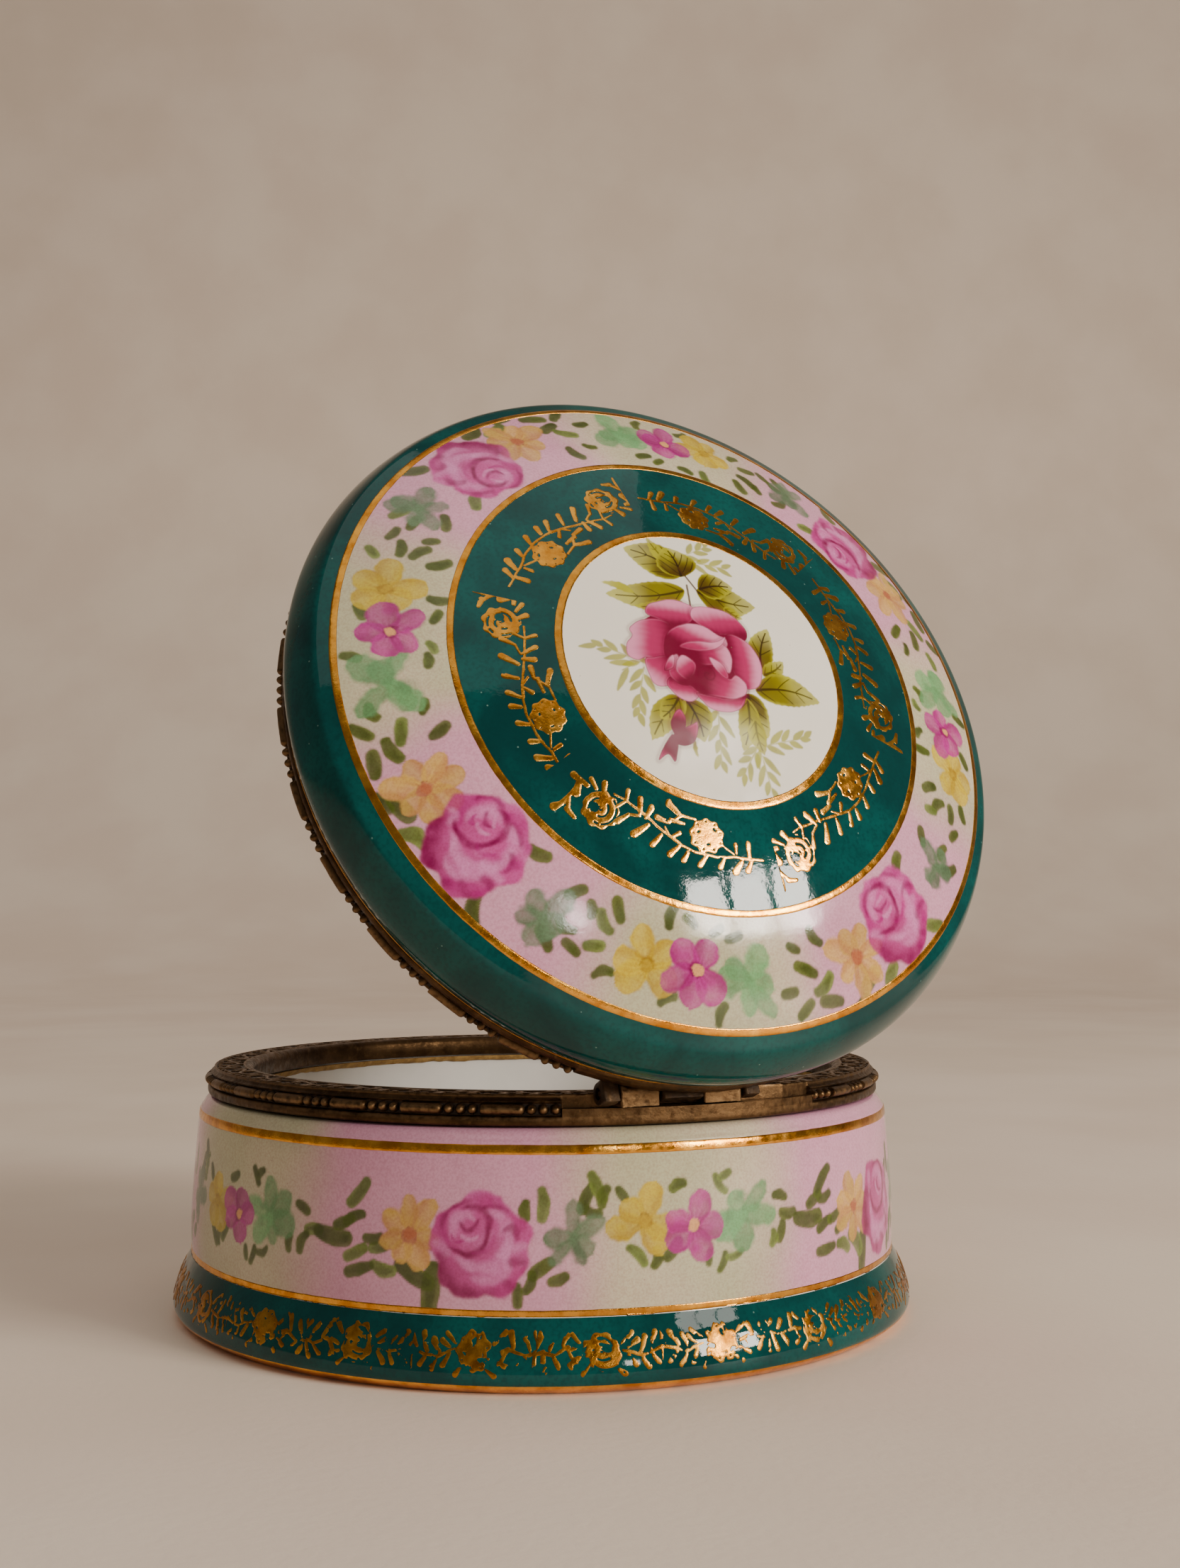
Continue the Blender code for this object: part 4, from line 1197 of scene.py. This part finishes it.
def collar(body, side):
    """A collar with its row of bars and beads, leafy rim and plain stretch at the hinge."""
    outline = np.array(COLLAR_OUTLINE)
    turn = ring_angles(COLLAR_STEPS)
    radius, depth = outline[:, :1] + 0 * turn, outline[:, 1:] + 0 * turn
    angle = np.broadcast_to(turn, radius.shape)
    out, cut = collar_relief(angle, radius, depth)
    away = np.abs((angle + math.pi) % (2 * math.pi) - math.pi)
    wall = np.minimum(FACE_RADIUS, HINGE_WALL / np.cos(np.clip(away, 0, 0.5)))
    plain = away < math.radians(PLAIN_HALF)
    ledge = np.where(within(depth, LEDGE), HINGE_LEDGE, radius)
    ledge = np.where(depth < LEDGE[0], np.minimum(radius, wall), ledge)
    spot = wheel(radius, angle, depth)
    dents = noise(spot, 3.2, 100 + side).reshape(radius.shape)
    rough = noise(spot, 0.7, 101 + side).reshape(radius.shape)
    new_radius = np.where(plain, ledge, radius + out)
    outer = (radius > FACE_RADIUS) & (depth > 0.2)
    new_radius = new_radius + outer * (0.05 * dents + 0.025 * rough)
    new_depth = depth + cut * ~(plain & (radius > wall)) + 0.02 * rough * (cut > 0)
    wear = np.clip(out / ROW_RISE, 0, 1) ** 2
    wear = np.maximum(wear, (within(depth, MOULDING) & outer) * 0.55)
    wear = np.maximum(wear, ((depth < 0.5) & (radius > RIM[1])) * 0.6)
    wear = np.maximum(wear, (cut < 0.08) * (depth < 0.2) * within(radius, RIM) * 0.55)
    wear = np.maximum(wear, (plain & outer) * 0.25)
    row = within(depth, ROW) & (radius < 51.4) & ~plain
    deep = np.where(row, smoothstep(0.55, 0.0, out), 0)
    deep = np.maximum(deep, smoothstep(0.10, 0.24, cut))
    points = wheel(new_radius, angle, height_of(new_depth, side))
    faces = outwards(points, skin(len(outline), COLLAR_STEPS))
    paint = np.stack([wear.ravel(), deep.ravel(), 0 * deep.ravel()], axis=1)
    name = f"{body}_collar_brass"
    return build(name, points, faces, BRASS, body, (f"{body}_collar",), paint, sharp=50)


CEMENT_COLUMNS, CEMENT_RADIUS, CEMENT_DEPTH = 720, 45.95, 3.6
CEMENT_SECTION = (
    (45.15, 3.6), (45.95, 3.6), (45.98, 4.0), (45.95, 4.5), (45.75, 4.42), (45.5, 4.2), (45.25, 3.9))


def cement_line(body, side):
    """An uneven bead of cement in the corner under the flange."""
    turn = ring_angles(CEMENT_COLUMNS)
    section = np.array(CEMENT_SECTION)
    swell = 1 + 0.35 * noise(wheel(46.0, turn, 0 * turn), 3.0, 110 + side, 3)
    radius = CEMENT_RADIUS - (CEMENT_RADIUS - section[:, :1]) * np.clip(swell, 0.4, 1.25)
    depth = CEMENT_DEPTH + (section[:, 1:] - CEMENT_DEPTH) * swell
    points = wheel(radius, turn, height_of(depth, side))
    faces = outwards(points, skin(len(section), CEMENT_COLUMNS))
    return build(f"{body}_cement_line", points, faces, CEMENT, body, (f"{body}_cement_ring",))


TUBE_RADIUS, FOOT_DROP, BORE_RADIUS = 1.5, 1.65, 0.8
BEVEL_ALONG, BEVEL_INSET = (0, 0.06, 0.16), (0.16, 0.06, 0)
# Each knuckle: body, its side, its place in the row, and where it starts and stops along the hinge
KNUCKLES = (
    ("base", -1, "left", 3.3, 8.9), ("base", -1, "right", -8.9, -3.3),
    ("lid", 1, "left", 9.2, 11.5), ("lid", 1, "middle", -2.95, 2.95), ("lid", 1, "right", -11.5, -9.2),
)


def knuckle(body, side, word, start, stop):
    """A hinge knuckle: a rolled tube on a square foot, with bevelled ends and a chased face."""
    seed = int(120 + start)
    length = stop - start
    corner = math.degrees(math.atan2(FOOT_DROP, TUBE_RADIUS))
    angles = np.radians(np.concatenate([np.linspace(-180, -180 + corner, 8), np.linspace(-115, -65, 9),
                                        np.linspace(-corner, 0, 8)[:-1], np.linspace(0, 180, 33)[:-1]]))
    foot = np.minimum(TUBE_RADIUS / np.maximum(np.abs(np.cos(angles)), 1e-6),
                      FOOT_DROP / np.maximum(np.abs(np.sin(angles)), 1e-6))
    reach = np.where(angles < -1e-6, foot, TUBE_RADIUS)
    reach = reach + 0.12 * np.clip(np.sin(angles), 0, 1) ** 2 * np.abs(np.cos(angles))
    along = np.concatenate([
        BEVEL_ALONG, np.linspace(0.3, length - 0.3, 24), length - np.array(BEVEL_ALONG[::-1])])
    inset = np.interp(np.minimum(along, length - along), BEVEL_ALONG, BEVEL_INSET)[:, None]
    x = start + along[:, None] + 0 * angles
    spot = np.stack([x, np.cos(angles) * 2 + 0 * x, np.sin(angles) * 2 + 0 * x], axis=-1).reshape(-1, 3)
    chased = (0.07 * noise(spot, 1.2, seed) + 0.07 * noise(spot, 0.55, seed + 1)).reshape(x.shape)
    outer = reach - inset + chased * smoothstep(-0.1, 0.4, np.cos(angles)) * (inset == 0)
    reach_rows = np.vstack([outer, BORE_RADIUS + 0 * x[[-1, 0]]])
    x_rows = np.vstack([x, np.full((1, len(angles)), stop), np.full((1, len(angles)), start)])
    y = HINGE_Y + reach_rows * np.cos(angles)
    z = height_of(-reach_rows * np.sin(angles), side)
    points = np.stack([HINGE_X + x_rows, y, z], axis=-1).reshape(-1, 3)
    faces = outwards(points, skin(len(x_rows), len(angles)))
    in_bore = 2 * len(angles)
    wear = np.concatenate([(0.3 + 0.3 * np.abs(np.cos(angles)) + 0 * x).ravel(), np.zeros(in_bore)])
    # Painted shade: the lid's knuckles are darkened all over (0.4 * side) for the shadow under the lid; where
    # the chasing dips, the darkening is patina.
    dark = np.clip(-chased * 5 + 0.4 + 0.4 * side, 0, 0.85)
    deep = np.concatenate([dark.ravel(), np.full(in_bore, 0.8)])
    paint = np.stack([wear, deep, 0 * deep], axis=1)
    name, node = f"{body}_hinge_{word}", f"{body}_knuckle_{word}"
    return build(name, points, faces, BRASS, body, (node,), paint)


# ---------------------------------------------------------------- porcelain bodies


def inner_side(profile, start, stop, count):
    """The white body's outer side, under the skins."""
    radius, height = profile.at(np.linspace(start, stop, count), -SKIN + OVERLAP)
    return list(zip(radius, height))


def base_body():
    hollow = Profile([(46.2, 34.9), (46.2, 32), (46.3, 29), (46.9, 20), (46.4, 14), (44.4, 9.6), (40.5, 7.2),
                      (34, 6.3), (20, 6.2), (8, 6.2)])
    radius, height = hollow.at(np.linspace(0, hollow.length[-1], 90))
    outline = [(0, 1.8), (20, 1.8), (40, 1.8), (46.8, 1.85), (47.6, 1.75), (48.6, 0.8), (49.2, 0.2)]
    outline += [(49.7, 0), (51.5, 0), (53.8, 0)]
    outline += inner_side(FOOT, 0.25, FOOT.find(1, 9.25), 24)[:-1]
    outline += inner_side(WALL, WALL.find(1, 9.9), WALL.length[-1] - 0.2, 46)
    outline += [(48.0, 32.7), (48.0, 35.2), (47.75, 35.42), (46.5, 35.45), (46.25, 35.3)]
    outline += list(zip(radius, height)) + [(0, 6.2)]
    return turned_body(outline, "base", "base_bowl")


def lid_body():
    hollow = Profile([(8, 21.7), (16, 20.9), (23, 19.2), (31, 17.2), (38.5, 14.2), (43.4, 10.2), (45.6, 6.2),
                      (46.2, 4), (46.2, 1.9)])
    radius, height = hollow.at(np.linspace(0, hollow.length[-1], 80))
    outline = [(0, 21.8)] + list(zip(radius, height))
    outline += [(46.25, 1.65), (46.45, 1.5), (47.8, 1.5), (48.0, 1.7), (48.0, 4.3)]
    outline += inner_side(LID, 0.5, LID.length[-1] - 2.0, 90) + [(0, CROWN_Z - SKIN + OVERLAP)]
    return turned_body(outline, "lid", "lid_dome")


DISC_COUNT = 401  # grid points along the side of the printed disc


def medallion(rim):
    """The printed disc of the crown: a square grid drawn out to a circle, closed on the white body's side."""
    count = DISC_COUNT
    side = np.linspace(-1, 1, count)
    a, b = np.meshgrid(side, side)
    x = rim * a * np.sqrt(1 - b * b / 2)
    y = rim * b * np.sqrt(1 - a * a / 2)
    radius = np.hypot(x, y).ravel()
    along = np.linspace(LID.find(0, rim) - 1, LID.length[-1], 400)
    outline = np.array(LID.at(along))[:, ::-1]
    height = np.interp(radius, outline[0], outline[1])
    top = np.stack([-x.ravel(), -y.ravel(), height], axis=1)
    index = np.arange(count * count).reshape(count, count)
    quads = np.stack([index[:-1, :-1], index[:-1, 1:], index[1:, 1:], index[1:, :-1]], axis=-1).reshape(-1, 4)
    edge = np.concatenate([index[0, :-1], index[:-1, -1], index[-1, :0:-1], index[:0:-1, 0]])
    rings = [edge]
    points = [top]
    number = len(top)
    for share in (1.0, 0.7, 0.35):
        ring = top[edge] * np.array([share, share, 1])
        ring[:, 2] = np.interp(np.hypot(ring[:, 0], ring[:, 1]), outline[0], outline[1]) - SKIN
        points.append(ring)
        rings.append(np.arange(number, number + len(edge)))
        number += len(edge)
    points.append(np.array([[0, 0, CROWN_Z - SKIN]]))
    faces = [quads]
    for upper, lower in zip(rings, rings[1:]):
        faces.append(np.stack([upper, lower, np.roll(lower, -1), np.roll(upper, -1)], axis=1))
    last = rings[-1]
    faces.append(np.stack([last, np.full(len(last), number), np.roll(last, -1)], axis=1))
    points = np.vstack(points)
    faces = outwards(points, faces)
    paint = np.full((len(points), 3), 0.8)
    paint[: len(top)] = paint_medallion(x.ravel(), y.ravel(), top)
    return build("lid_medallion", points, faces, PRINTED, "lid", paint=paint)


# ---------------------------------------------------------------- the jar

base_body()
strip("base_foot_enamel", FOOT, FOOT.find(1, 0.9), FOOT.find(1, 9.2), 40, 720, ENAMEL, "base")
strip("base_wall_painting", WALL, WALL.find(1, 9.6), WALL.length[-1], 128, 1700, PAINTED, "base", paint_wall)
gold_line("base_gold_edge", FOOT, 0.05, FOOT.find(1, 1.35), "base", 61)
gold_line("base_gold_waist", WALL, 0.0, WALL.find(1, 10.15), "base", 62)
gold_line("base_gold_shoulder", WALL, WALL.find(1, 29.35), WALL.find(1, 30.6), "base", 63)
gilding("base_foot_garland", FOOT, FOOT.find(1, 1.5), FOOT.find(1, 9.1), 56, 2600, foot_garland_field,
        WORN_GOLD, "base", 64, 0.12)

RING_INNER, RING_MIDDLE, RING_OUTER = 21.0, 34.6, 48.45
at_inner, at_middle, at_outer = (LID.find(0, radius) for radius in (RING_INNER, RING_MIDDLE, RING_OUTER))
if LID.at(at_outer)[1] < 12:
    raise ValueError("the outer ring is on the lid's underside")
lid_body()
medallion(RING_INNER)
strip("lid_inner_enamel", LID, at_middle, at_inner, 70, 900, ENAMEL, "lid")
strip("lid_flower_band", LID, at_outer, at_middle, 96, 1500, PAINTED, "lid", paint_lid_band)
strip("lid_outer_enamel", LID, 0.2, at_outer, 80, 720, ENAMEL, "lid")
for name, middle, half in (("inner", at_inner, 0.56), ("middle", at_middle, 0.48), ("outer", at_outer, 0.5)):
    gold_line(f"lid_gold_{name}", LID, middle - half, middle + half, "lid", 70 + ord(name[0]))
gold_line("lid_gold_foot", LID, LID.find(1, 4.62), LID.find(1, 5.0), "lid", 90, 0.03)
gilding("lid_garland", LID, LID.find(0, 33.2), LID.find(0, 22.0), 96, 1560, lid_garland_field,
        GOLD, "lid", 91, 0.6)

for body, side in (("base", -1), ("lid", 1)):
    collar(body, side)
    cement_line(body, side)
for row in KNUCKLES:
    knuckle(*row)
pin = frame["nodes"]["hinge_pin"]
pin.data.materials.clear()
pin.data.materials.append(aged_brass("pin_brass", 0.4))


# ---------------------------------------------------------------- studio


def standing(x_axis, y_axis, z_axis, centre):
    """The matrix of something with these axes at this place."""
    return Matrix([list(row) for row in zip(x_axis, y_axis, z_axis, centre)] + [[0, 0, 0, 1]])


LENS, SENSOR = 52.237838, 36
CAMERA_TURN, CAMERA_AWAY, CAMERA_HEIGHT = math.radians(66.05), 273.9, 61.5
LOOK_TURN, LOOK_UP = math.radians(1.53), math.radians(3.94)
FORWARD = np.array([-math.cos(CAMERA_TURN), -math.sin(CAMERA_TURN), 0.0])
SIDEWAYS = np.array([-math.sin(CAMERA_TURN), math.cos(CAMERA_TURN), 0.0])

spot = (np.array([0, AXIS_Y, CAMERA_HEIGHT]) - CAMERA_AWAY * FORWARD) * MM
forward = math.cos(LOOK_TURN) * FORWARD + math.sin(LOOK_TURN) * SIDEWAYS
forward = math.cos(LOOK_UP) * forward + np.array([0, 0, math.sin(LOOK_UP)])
sideways = np.cross(forward, [0, 0, 1])
sideways /= np.linalg.norm(sideways)
upwards = np.cross(sideways, forward)
camera = bpy.data.objects.new("camera", bpy.data.cameras.new("camera"))
camera.data.sensor_fit = "HORIZONTAL"
camera.data.sensor_width = SENSOR
camera.data.lens = LENS
camera.data.clip_start = 0.01
camera.matrix_world = standing(sideways, upwards, -forward, spot)
bpy.context.collection.objects.link(camera)
bpy.context.scene.camera = camera


def area_light(name, turn, rise, distance, width, height, power, tint, glossy):
    """A soft panel facing the jar from a direction: degrees round from +X and degrees up."""
    turn, rise = math.radians(turn), math.radians(rise)
    towards = np.array([math.cos(rise) * math.cos(turn), math.cos(rise) * math.sin(turn), math.sin(rise)])
    light = bpy.data.lights.new(name, "AREA")
    light.shape = "RECTANGLE"
    light.size, light.size_y = width, height
    light.energy = power
    light.color = tint
    lamp = bpy.data.objects.new(name, light)
    across = np.cross([0, 0, 1], towards)
    across /= np.linalg.norm(across)
    high = np.cross(towards, across)
    centre = np.array([0, 0, 0.05]) + towards * distance
    lamp.matrix_world = standing(across, high, towards, centre)
    lamp.visible_glossy = glossy
    bpy.context.collection.objects.link(lamp)


# Name, turn, rise, distance, width and height in metres, watts, tint, and whether it shows in reflections
LIGHTS = []
for number, turn in enumerate((114.5, 121.5, 128.5)):
    LIGHTS.append((f"window_low_{number}", turn, 14.5, 1.3, 0.125, 0.205, 4.0, (1.0, 0.93, 0.84), True))
    LIGHTS.append((f"window_high_{number}", turn, 33, 1.3, 0.125, 0.14, 0.5, (1.0, 0.93, 0.84), True))
LIGHTS += [
    ("room", 118, 30, 1.4, 0.7, 0.7, 5.5, (1.0, 0.92, 0.82), False),
    ("room_far_side", -60, 35, 1.4, 0.7, 0.7, 2.0, (1.0, 0.94, 0.88), False),
    ("small_window", 91, 11.5, 1.5, 0.10, 0.12, 1.0, (1.0, 0.95, 0.88), True),
    ("ceiling", 70, 74, 1.5, 1.4, 1.4, 4.0, (1.0, 0.93, 0.86), True),
]
for light in LIGHTS:
    area_light(*light)

world = bpy.data.worlds.new("studio")
bpy.context.scene.world = world
world.use_nodes = True
world.node_tree.nodes["Background"].inputs[0].default_value = (1.0, 0.93, 0.87, 1)
world.node_tree.nodes["Background"].inputs[1].default_value = 0.16


SWEEP = 0.5  # radius of the backdrop's curve, in metres


def backdrop():
    """A pale floor that sweeps up into a wall behind the jar."""
    look = Look("pale_paper", roughness=0.6)
    base = look.mix(look.cloud(0.3, 0.7, 90.0, 4), colour(236, 217, 198), colour(244, 227, 209))
    look.bump(look.grain(1.5), 0.05)
    material = look.done(base)
    arc = np.linspace(0, math.pi / 2, 24)
    profile = [(-2.2, 0.0), (0.0, 0.0), (0.6, 0.0)]
    profile += [(0.9 + SWEEP * math.sin(a), SWEEP - SWEEP * math.cos(a)) for a in arc]
    profile += [(0.9 + SWEEP, 1.6), (0.9 + SWEEP, 3.0)]
    across = np.linspace(-3.0, 3.0, 9)
    points = [FORWARD * y + SIDEWAYS * x + np.array([0, 0, z]) for y, z in profile for x in across]
    count = len(across)
    faces = [(corner, corner + 1, corner + count + 1, corner + count)
             for corner in range(count * (len(profile) - 1)) if (corner + 1) % count]
    mesh = bpy.data.meshes.new("floor")
    mesh.from_pydata([tuple(point) for point in points], [], faces)
    mesh.shade_smooth()
    mesh.materials.append(material)
    floor = bpy.data.objects.new("floor", mesh)
    bpy.context.collection.objects.link(floor)


backdrop()
